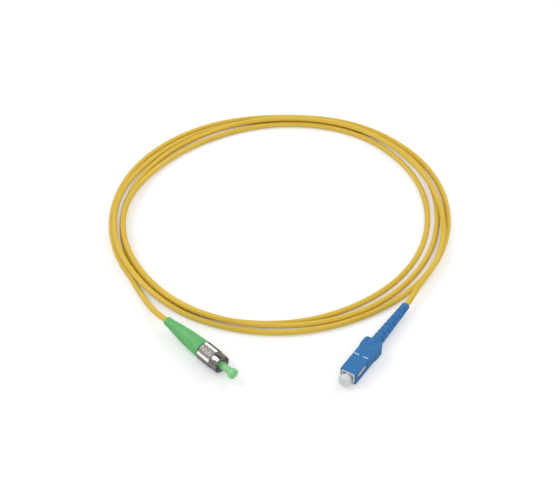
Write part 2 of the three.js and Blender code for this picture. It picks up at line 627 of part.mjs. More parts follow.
function scGrip() {
  const rear = -SC_GRIP_LENGTH;
  const h = SC_GRIP_HEIGHT / 2;
  const waist = rear + SC_GRIP_FLARE;
  const [keyFront, keyTop] = [-SC_KEY_SETBACK, SC_KEY_ROOT - h];
  const slab = new THREE.ExtrudeGeometry(
    scGripPlan(rear, waist),
    { depth: SC_GRIP_HEIGHT, bevelEnabled: false, curveSegments: 4 },
  );
  const edgesFrom = waist + SC_GRIP_EASE / 2; // ahead of this the chamfers follow the narrow sides
  const frontEdges = bar(edgesFrom, OVERCUT, SC_GRIP_WIDTH, SC_GRIP_HEIGHT, SC_GRIP_EDGE);
  const rearEdges = bar(rear - OVERCUT, edgesFrom, SC_GRIP_REAR_WIDTH, SC_GRIP_HEIGHT, SC_GRIP_EDGE);
  const keyHeight = SC_KEY_HEIGHT + SC_KEY_ROOT;
  const key = bar(keyFront - SC_KEY_LENGTH, keyFront, SC_KEY_WIDTH, keyHeight, 0, 0, keyTop - keyHeight / 2);
  let body = solid(slab.translate(0, 0, -h)).intersect(frontEdges.add(rearEdges)).add(key);
  body = body.subtract(bar(rear - OVERCUT, OVERCUT, scCavityWidth, scCavityHeight, SC_CAVITY_CORNER));
  body = body.subtract(rod(rear - OVERCUT, scBootFront + 2 * SEAT, SC_BOOT_D / 2 + RUN, FINE));
  const pocketWidth = SC_FRAME_WIDTH + 2 * SC_LEDGE_PROUD + 2 * SC_FRAME_GAP;
  body = body.subtract(bar(SC_LEDGE[0] - SEAT, SC_LEDGE[1] + SEAT + SC_LATCH, pocketWidth, SC_WINDOW_HEIGHT));
  body = body.subtract(bar(SC_WINDOW[0], SC_WINDOW[1], SC_GRIP_WIDTH + 2 * OVERCUT, SC_WINDOW_HEIGHT));
  const [markRear, markFront] = [SC_MARK_X - SC_MARK_WIDTH / 2, SC_MARK_X + SC_MARK_WIDTH / 2];
  for (const side of [-1, 1]) {
    body = body.subtract(bar(markRear, markFront, SC_MARK_LENGTH, 2 * SC_MARK_DEPTH, 0, side * SC_MARK_OFFSET, h));
  }
  return body;
}

function scPlugFrame() {
  const cavityWidth = SC_FRAME_WIDTH - 2 * SC_FRAME_WALL;
  const cavityHeight = SC_CAP_STEM_D + 2 * RUN;
  const ledgeWidth = SC_FRAME_WIDTH + 2 * SC_LEDGE_PROUD;
  const throat = FERRULE_D / 2 + 2 * FIT;
  let body = bar(scFrameRear, scFrameFront, SC_FRAME_WIDTH, SC_FRAME_HEIGHT, SC_FRAME_EDGE);
  body = body.add(bar(SC_LEDGE[0], SC_LEDGE[1], ledgeWidth, SC_LEDGE_HEIGHT));
  body = body.subtract(bar(scLipFront, scFrameFront + OVERCUT, cavityWidth, cavityHeight, SC_FRAME_MOUTH));
  body = body.subtract(rod(scFrameRear - OVERCUT, scLipRear, SC_BORE_D / 2, FINE));
  body = body.subtract(rod(scLipRear - OVERCUT, scLipFront + OVERCUT, throat, FINE));
  const recess = (SC_FRAME_WIDTH - SC_BORE_D) / 2 - SC_RECESS_WALL;
  const opening = SC_FRAME_WALL + SC_OPENING;
  for (const side of [-1, 1]) {
    const y = side * (SC_FRAME_WIDTH / 2);
    body = body.subtract(bar(SC_RECESS[0], SC_RECESS[1], 2 * recess, SC_RECESS_HEIGHT, 0, y, -SC_RECESS_DROP));
    body = body.subtract(bar(scLipFront + SEAT, SC_RECESS[1], 2 * opening, SC_RECESS_HEIGHT, 0, y, -SC_RECESS_DROP));
  }
  return body;
}

// The boot's rings are parted by slots. Webs bridge each slot on two sides, turned a quarter from the
// webs of the slots next to it, so that the boot bends every way.
function scBoot() {
  const [front, rear] = [SC_BOOT_D / 2, SC_BOOT_REAR_D / 2];
  const taperFrom = -SC_GRIP_LENGTH - SC_LATCH - SC_BOOT_NECK;
  const outerAt = (x) => front + ((rear - front) * Math.max(0, taperFrom - x)) / (taperFrom - scBootRear);
  const bore = bootBore(sc, scBootRear, scBootFront);
  const boreAt = (x) => Math.max(...bore.filter(([at], i) => at <= x || bore[i - 1]?.[0] <= x).map(([, r]) => r));
  const slots = Array.from({ length: SC_BOOT_RINGS }, (_, i) => {
    const slotFront = taperFrom - SC_BOOT_SLOT - i * SC_BOOT_PITCH;
    const slotRear = slotFront - SC_BOOT_SLOT;
    const core = Math.max(outerAt(slotRear) - SC_BOOT_SLOT_DEPTH, boreAt(slotFront) + SC_BOOT_WALL);
    return { slotFront, slotRear, core };
  });
  const outer = [[scBootRear, rear - SC_BOOT_EDGE], [scBootRear + SC_BOOT_EDGE, rear]];
  for (const { slotFront, slotRear, core } of [...slots].reverse()) {
    outer.push([slotRear, outerAt(slotRear)], [slotRear, core], [slotFront, core], [slotFront, outerAt(slotFront)]);
  }
  outer.push([taperFrom, front], [scBootFront, front]);
  let body = turnedTube(outer, bore, PLAIN);
  slots.forEach(({ slotFront, slotRear, core }, i) => {
    const span = 2 * (outerAt(slotRear) - FIT);
    const [wide, high] = i % 2 === 0 ? [SC_BOOT_WEB, span] : [span, SC_BOOT_WEB];
    const web = bar(slotRear - FIT, slotFront + FIT, wide, high);
    const inside = (core + boreAt(slotFront)) / 2;
    body = body.add(web.subtract(rod(slotRear - OVERCUT, slotFront + OVERCUT, inside, PLAIN)));
  });
  return body;
}

function scDustCap() {
  const [stem, head] = [SC_CAP_STEM_D / 2, SC_CAP_HEAD_D / 2];
  const rear = scLipFront + TRAVEL + SEAT;
  const headRear = scFrameFront + TRAVEL + SEAT;
  const front = headRear + SC_CAP_HEAD_LENGTH;
  const bore = FERRULE_D / 2 + FIT;
  const blind = sc.tip + END_GAP;
  const edge = SC_CAP_EDGE;
  return turned([
    [rear, bore], [blind, bore], [blind + bore / 2, 0], [front, 0],
    ...roundedCorner(front, head, SC_CAP_HEAD_ROUND, 1, 3),
    [headRear + edge, head], [headRear, head - edge], [headRear, stem], [rear + edge, stem], [rear, stem - edge],
  ], FINE);
}

// ---------------------------------------------------------------- the cable
const UP = new THREE.Vector3(0, 0, 1);

// Value on a smooth curve through the listed values, at a place counted in list steps.
function smoothAt(values, place) {
  const last = values.length - 1;
  const i = Math.min(Math.floor(place), last - 1);
  const f = place - i;
  const [a, b, c, d] = [values[Math.max(i - 1, 0)], values[i], values[i + 1], values[Math.min(i + 2, last)]];
  return 0.5 * (2 * b + (c - a) * f + (2 * a - 5 * b + 4 * c - d) * f * f + (3 * b - a - 3 * c + d) * f ** 3);
}

const passRadius = [FIRST_PASS.radius, ...PASS_RADIUS.flat()];
const passLift = [FIRST_PASS.lift, ...PASS_LIFT.flat()];
const coilHours = passRadius.length - 1;

// The coil's centreline at a number of hours past eight o'clock.
function coilPoint(hours) {
  const angle = THREE.MathUtils.degToRad(COIL_START - HOUR * hours);
  const r = COIL_RADIUS + smoothAt(passRadius, hours);
  const z = JACKET_D / 2 + CORD_PITCH * Math.max(0, smoothAt(passLift, hours));
  return new THREE.Vector3(COIL_CENTRE[0] + r * Math.cos(angle), COIL_CENTRE[1] + r * Math.sin(angle), z);
}

// The least gap between strands of the coil, measured on points a degree apart.
function leastGap() {
  const points = [];
  for (let h = 0; h <= coilHours; h += 1 / HOUR) points.push(coilPoint(h));
  let least = Infinity;
  for (let i = 0; i < points.length; i += 1) {
    for (let j = i + 180; j < points.length; j += 1) least = Math.min(least, points[i].distanceTo(points[j]));
  }
  return least - JACKET_D;
}

// The coil's ends run straight for a cord's diameter, so that its end faces are square to the leads.
function coil() {
  const points = [];
  const steps = Math.round((coilHours / 12) * COIL_STEPS);
  for (let i = 0; i <= steps; i += 1) points.push(coilPoint((coilHours * i) / steps));
  const heading = coilHeadings();
  points.splice(1, 0, points[0].clone().addScaledVector(heading.start, JACKET_D));
  points.splice(points.length - 1, 0, points.at(-1).clone().addScaledVector(heading.end, -JACKET_D));
  return sweep(points, COIL_SIDES, JACKET_D / 2, UP, Math.PI / 2);
}

function coilHeadings() {
  const nudge = 0.05;
  const start = coilPoint(nudge).sub(coilPoint(0)).normalize();
  const end = coilPoint(coilHours).sub(coilPoint(coilHours - nudge)).normalize();
  return { start, end };
}

// A free stretch of cable through points, as one tube.
function lead(points) {
  const section = new THREE.Shape();
  const r = JACKET_D / 2;
  for (let k = 0; k < LEAD_SIDES; k += 1) {
    const angle = (2 * Math.PI * (k + 0.5)) / LEAD_SIDES;
    const [x, y] = [r * Math.cos(angle), r * Math.sin(angle)];
    if (k === 0) section.moveTo(x, y);
    else section.lineTo(x, y);
  }
  const path = new THREE.CatmullRomCurve3(points, false, 'centripetal');
  const steps = Math.round(path.getLength() / LEAD_STEP);
  const tube = new THREE.ExtrudeGeometry(section, { steps, bevelEnabled: false, extrudePath: path });
  return { tube: solid(tube), length: path.getLength() };
}

// A place on a plug's axis, in the frame of the whole cord.
function onAxis(place, x) {
  const yaw = THREE.MathUtils.degToRad(place.yaw);
  return new THREE.Vector3(place.front[0] + x * Math.cos(yaw), place.front[1] + x * Math.sin(yaw), place.height);
}

const fcPlug = {
  front: FC_FRONT,
  yaw: FC_YAW,
  height: FC_NUT_D / 2,
  jacketFront: fc.jacketFront,
  bootRear: fcBootRear,
};
const scPlug = {
  front: SC_FRONT,
  yaw: SC_YAW,
  height: SC_GRIP_HEIGHT / 2 + SC_KEY_HEIGHT,
  jacketFront: sc.jacketFront,
  bootRear: scBootRear,
};

// A lead runs straight through its boot, along its route, and meets the coil in line with it.
function leadTo(place, route, end, heading) {
  const { jacketFront, bootRear } = place;
  const inside = [jacketFront, (jacketFront + bootRear) / 2, bootRear, bootRear - LEAD_STRAIGHT];
  const last = end.clone().addScaledVector(heading, MEET);
  return lead([
    ...inside.map((x) => onAxis(place, x)),
    ...route.map((at) => new THREE.Vector3(...at)),
    last.clone().addScaledVector(heading, JACKET_D),
    last,
  ]);
}

const headings = coilHeadings();
const fcLead = leadTo(fcPlug, FC_LEAD_ROUTE, coilPoint(0), headings.start.clone().negate());
const scLead = leadTo(scPlug, SC_LEAD_ROUTE, coilPoint(coilHours), headings.end);

// ---------------------------------------------------------------- the assembly
function plugGroup(place, pieces) {
  const group = new THREE.Group();
  group.position.set(place.front[0], place.front[1], place.height);
  group.rotation.z = THREE.MathUtils.degToRad(place.yaw);
  group.add(...pieces);
  return group;
}

const fcGroup = plugGroup(fcPlug, [
  piece('fc_dust_cap', fcDustCap(), finishes.capGreen()),
  piece('fc_coupling_nut', fcCouplingNut(), finishes.nickel()),
  piece('fc_nut_retaining_ring', fcRetainingRing(), finishes.steel()),
  piece('fc_barrel', fcBarrel(), finishes.nickel()),
  piece('fc_ferrule', ferrule(fc, FC_TIP_ANGLE), finishes.ceramic()),
  piece('fc_ferrule_holder', ferruleHolder(fc), finishes.nickel()),
  piece('fc_spring', spring(fc), finishes.steel()),
  piece('fc_rear_body', rearBody(fc, FC_BARREL_D), finishes.nickel()),
  piece('fc_guide_tube', guideTube(fc), finishes.soft()),
  piece('fc_buffered_fibre', bufferedFibre(fc), finishes.white()),
  piece('fc_aramid_yarn', yarnSleeve(fc), finishes.yarn()),
  piece('fc_crimp_sleeve', crimpSleeve(fc), finishes.steel()),
  piece('fc_boot', fcBoot(), finishes.green()),
]);

const scGroup = plugGroup(scPlug, [
  piece('sc_dust_cap', scDustCap(), finishes.clear()),
  piece('sc_grip', scGrip(), finishes.blue()),
  piece('sc_plug_frame', scPlugFrame(), finishes.white()),
  piece('sc_ferrule', ferrule(sc, 0), finishes.ceramic()),
  piece('sc_ferrule_holder', ferruleHolder(sc), finishes.nickel()),
  piece('sc_spring', spring(sc), finishes.steel()),
  piece('sc_rear_body', rearBody(sc, SC_FRAME_HEIGHT), finishes.steel()),
  piece('sc_guide_tube', guideTube(sc), finishes.soft()),
  piece('sc_buffered_fibre', bufferedFibre(sc), finishes.white()),
  piece('sc_aramid_yarn', yarnSleeve(sc), finishes.yarn()),
  piece('sc_crimp_sleeve', crimpSleeve(sc), finishes.steel()),
  piece('sc_boot', scBoot(), finishes.blue()),
]);

const patchCord = new THREE.Group();
patchCord.add(
  fcGroup,
  scGroup,
  piece('fc_lead', fcLead.tube, finishes.jacket()),
  piece('cord_coil', coil(), finishes.jacket()),
  piece('sc_lead', scLead.tube, finishes.jacket()),
);

console.log(`cord_coil: least gap to itself ${leastGap().toFixed(2)} mm`);
console.log(`leads ${fcLead.length.toFixed(1)} mm and ${scLead.length.toFixed(1)} mm, from the crimp sleeves to the coil`);

export default patchCord;
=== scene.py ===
"""A simplex fibre optic patch cord, laid in a loose coil on a pale table.

A screw-nut plug with a green boot ends the cable on the left, and a push-pull plug with a blue grip on
the right. Each piece of a plug is drawn in millimetres along the plug's own axis, x = 0 at its front
face and +X ahead, and is then laid in place in metres, in the frame of the whole cord.
"""

import functools
import logging
import math
from dataclasses import dataclass
from enum import Enum
from types import SimpleNamespace
from typing import Callable, Iterable, Sequence

import bmesh
import bpy
from mathutils import Matrix, Vector

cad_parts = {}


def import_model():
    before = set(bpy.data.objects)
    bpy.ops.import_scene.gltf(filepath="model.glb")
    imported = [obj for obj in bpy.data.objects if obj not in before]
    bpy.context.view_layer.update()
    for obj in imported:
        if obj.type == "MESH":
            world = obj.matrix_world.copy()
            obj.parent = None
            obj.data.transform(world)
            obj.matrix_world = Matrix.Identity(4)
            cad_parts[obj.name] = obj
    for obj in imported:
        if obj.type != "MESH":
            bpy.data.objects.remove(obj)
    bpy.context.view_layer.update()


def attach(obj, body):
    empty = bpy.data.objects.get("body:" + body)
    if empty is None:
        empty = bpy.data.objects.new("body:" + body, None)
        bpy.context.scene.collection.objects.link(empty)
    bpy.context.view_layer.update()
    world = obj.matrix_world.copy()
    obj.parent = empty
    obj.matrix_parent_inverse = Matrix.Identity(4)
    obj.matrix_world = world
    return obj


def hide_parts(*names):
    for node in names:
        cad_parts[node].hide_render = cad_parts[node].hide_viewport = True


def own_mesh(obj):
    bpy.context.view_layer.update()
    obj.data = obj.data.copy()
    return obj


log = logging.getLogger("patch_cord")

MM = 0.001
FINE = 128  # facets round the pieces that show
PLAIN = 64  # facets round the inner pieces
FIT = 0.1  # radial gap of pieces that are pressed together
RUN = 0.15  # radial gap of pieces that slide or turn
SEAT = 0.15  # gap along the axis where one piece seats on another
ON_AXIS = 1e-6  # a radius that counts as none
WELD = 1e-4  # points closer than this become one

JACKET_D = 3.0
BUFFER_D = 0.9
FERRULE_D = 2.5

Tree = bpy.types.NodeTree
Piece = bpy.types.Object
Colour = tuple[int, int, int]  # as the eye sees it, 0 to 255
Points = list[tuple[float, float]]
Profile = Sequence[Sequence[float]]  # points of x, radius and, where it has one, the corner's rounding

QUARTERS = ((1, 1), (-1, 1), (-1, -1), (1, -1))  # signs of a rectangle's corners, in turn


# ------------------------------------------------------------------ node trees
class Wire:
    """A node's output, which takes part in sums as a number does."""

    def __init__(self, graph: "Graph", socket: bpy.types.NodeSocket) -> None:
        """Holds the output and the graph that it is in."""
        self.graph = graph
        self.socket = socket

    def to(self, operation: str, *others: "float | Wire") -> "Wire":
        """The result of a math node that starts from this number."""
        return self.graph.math(operation, self, *others)

    __add__ = functools.partialmethod(to, "ADD")
    __sub__ = functools.partialmethod(to, "SUBTRACT")
    __mul__ = functools.partialmethod(to, "MULTIPLY")
    __truediv__ = functools.partialmethod(to, "DIVIDE")
    __gt__ = functools.partialmethod(to, "GREATER_THAN")
    __lt__ = functools.partialmethod(to, "LESS_THAN")

    def __rtruediv__(self, value: float) -> "Wire":
        """A plain number divided by this one."""
        return self.graph.math("DIVIDE", value, self)

    def spread(self, low: float, high: float, to_low: float = 0.0, to_high: float = 1.0) -> "Wire":
        """This number taken smoothly from one range to another, and held at its ends."""
        inputs = {"Value": self, "From Min": low, "From Max": high, "To Min": to_low, "To Max": to_high}
        return self.graph.get("ShaderNodeMapRange", inputs, interpolation_type="SMOOTHSTEP")

    def stretched(self, scale: Sequence[float]) -> "Wire":
        """This vector scaled by other amounts along its axes."""
        return self.graph.get("ShaderNodeMapping", {"Vector": self, "Scale": scale})


class Graph:
    """A node tree, with one short call to add a node and wire it up."""

    def __init__(self, tree: Tree) -> None:
        """Starts from an empty tree."""
        self.tree = tree
        tree.nodes.clear()

    def add(self, kind: str, inputs: dict | None = None, **settings: object) -> bpy.types.Node:
        """Adds a node.

        Args:
            kind: the node's type name.
            inputs: socket name or number, to a value or to the wire that feeds it.
            **settings: the node's own properties.

        Returns:
            The new node.
        """
        node = self.tree.nodes.new(kind)
        for name, value in settings.items():
            setattr(node, name, value)
        for key, value in (inputs or {}).items():
            if isinstance(value, Wire):
                self.tree.links.new(value.socket, node.inputs[key])
            else:
                node.inputs[key].default_value = value
        return node

    def get(self, kind: str, inputs: dict | None = None, output: int | str = 0, **settings: object) -> Wire:
        """Adds a node and gives one of its outputs."""
        return Wire(self, self.add(kind, inputs, **settings).outputs[output])

    def all_of(self, kind: str, inputs: dict | None = None, **settings: object) -> list[Wire]:
        """Adds a node and gives all its outputs."""
        return [Wire(self, output) for output in self.add(kind, inputs, **settings).outputs]

    def math(self, operation: str, *values: float | Wire) -> Wire:
        """A math node's result."""
        return self.get("ShaderNodeMath", dict(enumerate(values)), operation=operation)

    def mix(self, share: Wire, a: float | Wire | Sequence[float], b: float | Wire | Sequence[float]) -> Wire:
        """A number between two others, or a colour between two others."""
        if isinstance(a, tuple):
            return self.get("ShaderNodeMix", {0: share, 6: a, 7: b}, 2, data_type="RGBA")
        return self.get("ShaderNodeMix", {0: share, 2: a, 3: b}, data_type="FLOAT")

    def noise(self, vector: Wire, scale: float | Wire = 1.0, detail: float = 2.0) -> Wire:
        """A noise texture's value, 0 to 1."""
        return self.get("ShaderNodeTexNoise", {"Vector": vector, "Scale": scale, "Detail": detail})

    def attribute(self, name: str, output: str = "Vector") -> Wire:
        """What the mesh stores under a name."""
        return self.get("ShaderNodeAttribute", output=output, attribute_name=name)

    def vector(self, x: float | Wire, y: float | Wire = 0.0, z: float | Wire = 0.0) -> Wire:
        """A vector from its parts."""
        return self.get("ShaderNodeCombineXYZ", {"X": x, "Y": y, "Z": z})

    def parts(self, vector: Wire) -> list[Wire]:
        """A vector's three parts."""
        return self.all_of("ShaderNodeSeparateXYZ", {0: vector})

    def given(self) -> SimpleNamespace:
        """The tree's inputs, by their names in lower case, with _ for a space."""
        named = {wire.socket.name.replace(" ", "_").lower(): wire for wire in self.all_of("NodeGroupInput")}
        named.pop("")  # the empty socket that a group input ends with
        return SimpleNamespace(**named)


def radius(y: Wire, z: Wire) -> Wire:
    """The distance from the plug's axis."""
    return (y * y + z * z).to("SQRT")


def sockets(tree: Tree, in_out: str, kind: str, names: str) -> None:
    """Gives a tree sockets of one kind, named in one string, with _ for a space within a name."""
    for name in names.split():
        label = name.replace("_", " ").title()
        tree.interface.new_socket(label, in_out=in_out, socket_type="NodeSocket" + kind)


def baked(piece: Piece) -> Piece:
    """The piece with its modifiers applied, as a new plain mesh object under the same name."""
    bpy.context.view_layer.update()
    evaluated = piece.evaluated_get(bpy.context.evaluated_depsgraph_get())
    mesh = bpy.data.meshes.new_from_object(evaluated)
    name = piece.name
    bpy.data.objects.remove(piece)
    return linked(name, mesh)


def linked(name: str, data: bpy.types.ID) -> Piece:
    """A new object in the scene that holds the data."""
    made = bpy.data.objects.new(name, data)
    bpy.context.scene.collection.objects.link(made)
    return made


# ------------------------------------------------------------------ shape trees
def shape_tree(name: str, sizes: str) -> tuple[Graph, SimpleNamespace]:
    """A new geometry tree, which takes geometry, named sizes and a material, and gives geometry.

    Args:
        name: the tree's name.
        sizes: the sizes' names, as sockets() takes them.

    Returns:
        Its graph and its inputs.
    """
    tree = bpy.data.node_groups.new(name, "GeometryNodeTree")
    sockets(tree, "INPUT", "Geometry", "geometry")
    sockets(tree, "INPUT", "Float", sizes)
    sockets(tree, "INPUT", "Material", "material")
    sockets(tree, "OUTPUT", "Geometry", "geometry")
    g = Graph(tree)
    return g, g.given()


def dressed(g: Graph, given: SimpleNamespace, geometry: Wire) -> Tree:
    """Ends a shape tree: real geometry, with its material on."""
    real = g.get("GeometryNodeRealizeInstances", {"Geometry": geometry})
    finished = g.get("GeometryNodeSetMaterial", {"Geometry": real, "Material": given.material})
    g.add("NodeGroupOutput", {0: finished})
    return g.tree


def pushed(g: Graph, given: SimpleNamespace, y: Wire, z: Wire, reach: Wire) -> Tree:
    """Ends a shape tree that moves each point straight away from the plug's axis."""
    share = reach / radius(y, z).to("MAXIMUM", ON_AXIS)
    inputs = {"Geometry": given.geometry, "Offset": g.vector(0.0, y * share, z * share)}
    return dressed(g, given, g.get("GeometryNodeSetPosition", inputs))


def swept(g: Graph, given: SimpleNamespace, curve: Wire, profile: Wire) -> Tree:
    """Ends a shape tree that draws a profile along a curve."""
    inputs = {"Curve": curve, "Profile Curve": profile, "Fill Caps": True}
    return dressed(g, given, g.get("GeometryNodeCurveToMesh", inputs))


def between(x: Wire, rear: Wire, front: Wire, run_out: float) -> Wire:
    """1 between two places along the axis, running out to 0 at both."""
    return (x - rear).spread(0, run_out) * (front - x).spread(0, run_out)


def knurl_tree() -> Tree:
    """A tree that raises straight ribs round a turned piece and winds a thread in its bore."""
    g, given = shape_tree("Knurl and thread", (
        "ribs root_radius rib_height knurl_rear knurl_front bore_limit "
        "thread_pitch thread_depth thread_rear thread_front"
    ))
    x, y, z = g.parts(g.get("GeometryNodeInputPosition"))
    turns, r = z.to("ARCTAN2", y) / (2 * math.pi), radius(y, z)
    steepness = 2.5  # how much steeper the ribs' flanks are than waves without flat crests
    crest = ((turns * given.ribs).to("PINGPONG", 0.5) * steepness).to("MINIMUM", 1.0)
    rib = crest * given.rib_height * between(x, given.knurl_rear, given.knurl_front, 0.35)
    outside = r > given.root_radius - 0.02
    groove = (x / given.thread_pitch + turns).to("PINGPONG", 0.5).spread(0.05, 0.45) * given.thread_depth
    threaded = between(x, given.thread_rear, given.thread_front, 0.5) * (r < given.bore_limit)
    return pushed(g, given, y, z, rib * outside + groove * threaded)


def slots_tree() -> Tree:
    """A tree that sinks slots round a boot, each bridged on two sides by webs that take turns."""
    g, given = shape_tree("Boot slots", (
        "first_slot pitch slots slot_width depth web_width soft_edge least_radius neck_rear neck_radius"
    ))
    x, y, z = g.parts(g.get("GeometryNodeInputPosition"))
    place = (given.first_slot - x) / given.pitch
    index = place.to("ROUND")
    odd = (index + 2.0).to("MODULO", 2.0)
    off_lip = given.slot_width * 0.5 - (place - index).to("ABSOLUTE") * given.pitch
    off_web = g.mix(odd, y, z).to("ABSOLUTE") - given.web_width * 0.5
    floor = g.mix(x > given.neck_rear, given.least_radius, given.neck_radius)
    depth = given.depth.to("MINIMUM", (radius(y, z) - floor).to("MAXIMUM", 0.0))
    sunk = (index > -0.5) * (index < given.slots) * depth * -1.0
    for reach in (off_lip, off_web):
        sunk = sunk * (reach / given.soft_edge).spread(0, 1)
    return pushed(g, given, y, z, sunk)


@functools.cache
def spring_tree() -> Tree:
    """A tree that winds a compression spring along +X, ahead of its rear end."""
    g, given = shape_tree("Spring", "curls mean_radius length wire rear")
    spiral = g.get("GeometryNodeCurveSpiral", {
        "Resolution": 32,
        "Rotations": given.curls,
        "Start Radius": given.mean_radius,
        "End Radius": given.mean_radius,
        "Height": given.length - given.wire,
    })
    wire_radius = given.wire * 0.5
    lying = g.get("GeometryNodeTransform", {"Geometry": spiral, "Rotation": (0, math.pi / 2, 0)})
    shift = g.vector(wire_radius + given.rear)
    seated = g.get("GeometryNodeTransform", {"Geometry": lying, "Translation": shift})
    return swept(g, given, seated, circle(g, 12, wire_radius))


def jacket_tree() -> Tree:
    """A tree that draws a round jacket over a line, and stores where each point lies on it."""
    g, given = shape_tree("Jacket", "diameter facets")

    def stored(geometry: Wire, name: str, value: Wire, kind: str) -> Wire:
        """The geometry with a value stored at its points."""
        inputs = {"Geometry": geometry, "Name": name, "Value": value}
        return g.get("GeometryNodeStoreNamedAttribute", inputs, data_type=kind, domain="POINT")

    line = g.get("GeometryNodeMeshToCurve", {0: given.geometry})
    upright = g.get("GeometryNodeSetCurveNormal", {"Curve": line}, mode="Z_UP")
    along = stored(upright, "along", g.get("GeometryNodeSplineParameter", output="Length"), "FLOAT")
    outline = circle(g, given.facets, given.diameter * 0.5)
    around = stored(outline, "around", g.get("GeometryNodeInputPosition"), "FLOAT_VECTOR")
    return swept(g, given, along, around)


def circle(g: Graph, facets: int | Wire, radius: Wire) -> Wire:
    """A circle to draw along a curve."""
    return g.get("GeometryNodeCurvePrimitiveCircle", {"Resolution": facets, "Radius": radius})


def reshaped(piece: Piece, tree: Tree, material: bpy.types.Material, **sizes: float) -> Piece:
    """Runs a shape tree on a piece and keeps the result as a plain mesh.

    Args:
        piece: the object whose geometry goes in.
        tree: the shape tree.
        material: the piece's finish.
        **sizes: the tree's sizes, with _ for a space.

    Returns:
        A new mesh object under the same name.
    """
    modifier = piece.modifiers.new(tree.name, "NODES")
    modifier.node_group = tree
    inputs = {item.name: item.identifier for item in tree.interface.items_tree if item.in_out == "INPUT"}
    modifier[inputs["Material"]] = material
    for name, value in sizes.items():
        modifier[inputs[name.replace("_", " ").title()]] = float(value)
    return baked(piece)


# ------------------------------------------------------------------ meshes
def spaced(start: float, end: float, spacing: float) -> list[float]:
    """Evenly spaced values from start to end, both included."""
    count = max(1, round(abs(end - start) / spacing))
    return [start + (end - start) * k / count for k in range(count + 1)]


def rounded(corners: Profile, loop: bool, steps: int = 5) -> Points:
    """An outline with its corners rounded.

    Args:
        corners: the outline's corners, each with its rounding.
        loop: whether the last corner joins the first.
        steps: stretches in each rounded corner.

    Returns:
        The outline's points.
    """
    points: Points = []
    last = len(corners) - 1
    straight, most = 0.49 * math.pi, 0.48  # a half angle left as it is, and how much of a side may go
    for i, corner in enumerate(corners):
        here = Vector(corner[:2])
        rounding = corner[2] if len(corner) > 2 else 0
        back = Vector(corners[i - 1][:2]) - here
        ahead = Vector(corners[(i + 1) % len(corners)][:2]) - here
        half = back.angle(ahead, math.pi) / 2
        if rounding <= 0 or (not loop and i in (0, last)) or half > straight:
            points.append(tuple(here))
            continue
        reach = min(rounding / math.tan(half), most * back.length, most * ahead.length)
        back.normalize()
        ahead.normalize()
        middle = here + (back + ahead).normalized() * (reach / math.cos(half))
        start, end = here + back * reach - middle, here + ahead * reach - middle
        first = math.atan2(start.y, start.x)
        swing = (math.atan2(end.y, end.x) - first + math.pi) % (2 * math.pi) - math.pi
        for k in range(steps + 1):
            angle = first + swing * k / steps
            points.append(tuple(middle + start.length * Vector((math.cos(angle), math.sin(angle)))))
    return points


def densified(points: Points, longest: float, loop: bool) -> Points:
    """The outline with points added, so that no stretch is longer than asked."""
    out: Points = []
    for i in range(len(points) if loop else len(points) - 1):
        a, b = Vector(points[i]), Vector(points[(i + 1) % len(points)])
        parts = max(1, math.ceil((b - a).length / longest))
        out.extend(tuple(a.lerp(b, k / parts)) for k in range(parts))
    if not loop:
        out.append(points[-1])
    return out


def turned(
    corners: Profile, facets: int = PLAIN, loop: bool = False, longest: float = 2.0, steps: int = 5
) -> Piece:
    """A piece turned about the plug's axis, as on a lathe.

    Args:
        corners: the outline. One that isn't a loop starts and ends on the axis.
        facets: how many facets it has round the axis.
        loop: whether the outline closes on itself, as a tube's does.
        longest: the longest stretch along the outline.
        steps: stretches in each rounded corner.

    Returns:
        The piece, along +X.
    """
    mesh = bmesh.new()
    rings = []
    for x, r in densified(rounded(corners, loop, steps), longest, loop):
        if r < ON_AXIS:
            rings.append([mesh.verts.new((x, 0, 0))])
            continue
        angles = (2 * math.pi * k / facets for k in range(facets))
        rings.append([mesh.verts.new((x, r * math.cos(a), r * math.sin(a))) for a in angles])
    for a, b in zip(rings, rings[1:] + rings[:1] if loop else rings[1:]):
        skin(mesh, a, b)
    return finished_mesh(mesh)


def tube(outer: Profile, bore: Profile, facets: int = PLAIN, **how: float) -> Piece:
    """A turned tube, from its outer and bore corners, each listed from rear to front."""
    return turned([*outer, *reversed(bore)], facets, True, **how)


def skin(mesh: bmesh.types.BMesh, a: list, b: list) -> None:
    """Faces between two rings of vertices, either of which may be one vertex on the axis."""
    count = max(len(a), len(b))
    if count == 1:
        return
    for k in range(count):
        n = (k + 1) % count
        if len(a) == 1:
            mesh.faces.new((a[0], b[n], b[k]))
        elif len(b) == 1:
            mesh.faces.new((a[k], a[n], b[0]))
        else:
            mesh.faces.new((a[k], a[n], b[n], b[k]))


def lofted(rings: Sequence[Sequence[Vector]]) -> Piece:
    """A closed piece through rings of points, each ring with as many points as the first."""
    mesh = bmesh.new()
    made = [[mesh.verts.new(point) for point in ring] for ring in rings]
    for a, b in zip(made, made[1:]):
        skin(mesh, a, b)
    mesh.faces.new(made[0])
    mesh.faces.new(made[-1])
    return finished_mesh(mesh)


def finished_mesh(mesh: bmesh.types.BMesh) -> Piece:
    """A bmesh as an object, with its faces outwards, and smooth but for its sharp edges."""
    bmesh.ops.recalc_face_normals(mesh, faces=mesh.faces)
    data = bpy.data.meshes.new("piece")
    mesh.to_mesh(data)
    mesh.free()
    return smoothed(linked("piece", data))


def smoothed(piece: Piece, sharp: float = 40.0) -> Piece:
    """Shades a piece smooth, but for edges sharper than so many degrees."""
    piece.data.shade_smooth()
    piece.data.set_sharp_from_angle(angle=math.radians(sharp))
    return piece


def section(
    x: float, width: float, height: float, rounding: float, y: float = 0.0, z: float = 0.0
) -> list[Vector]:
    """A rounded rectangle across the plug's axis at x, about the point y, z."""
    corners = [(width / 2 * u, height / 2 * v, rounding) for u, v in QUARTERS]
    return [Vector((x, y + u, z + v)) for u, v in rounded(corners, True)]


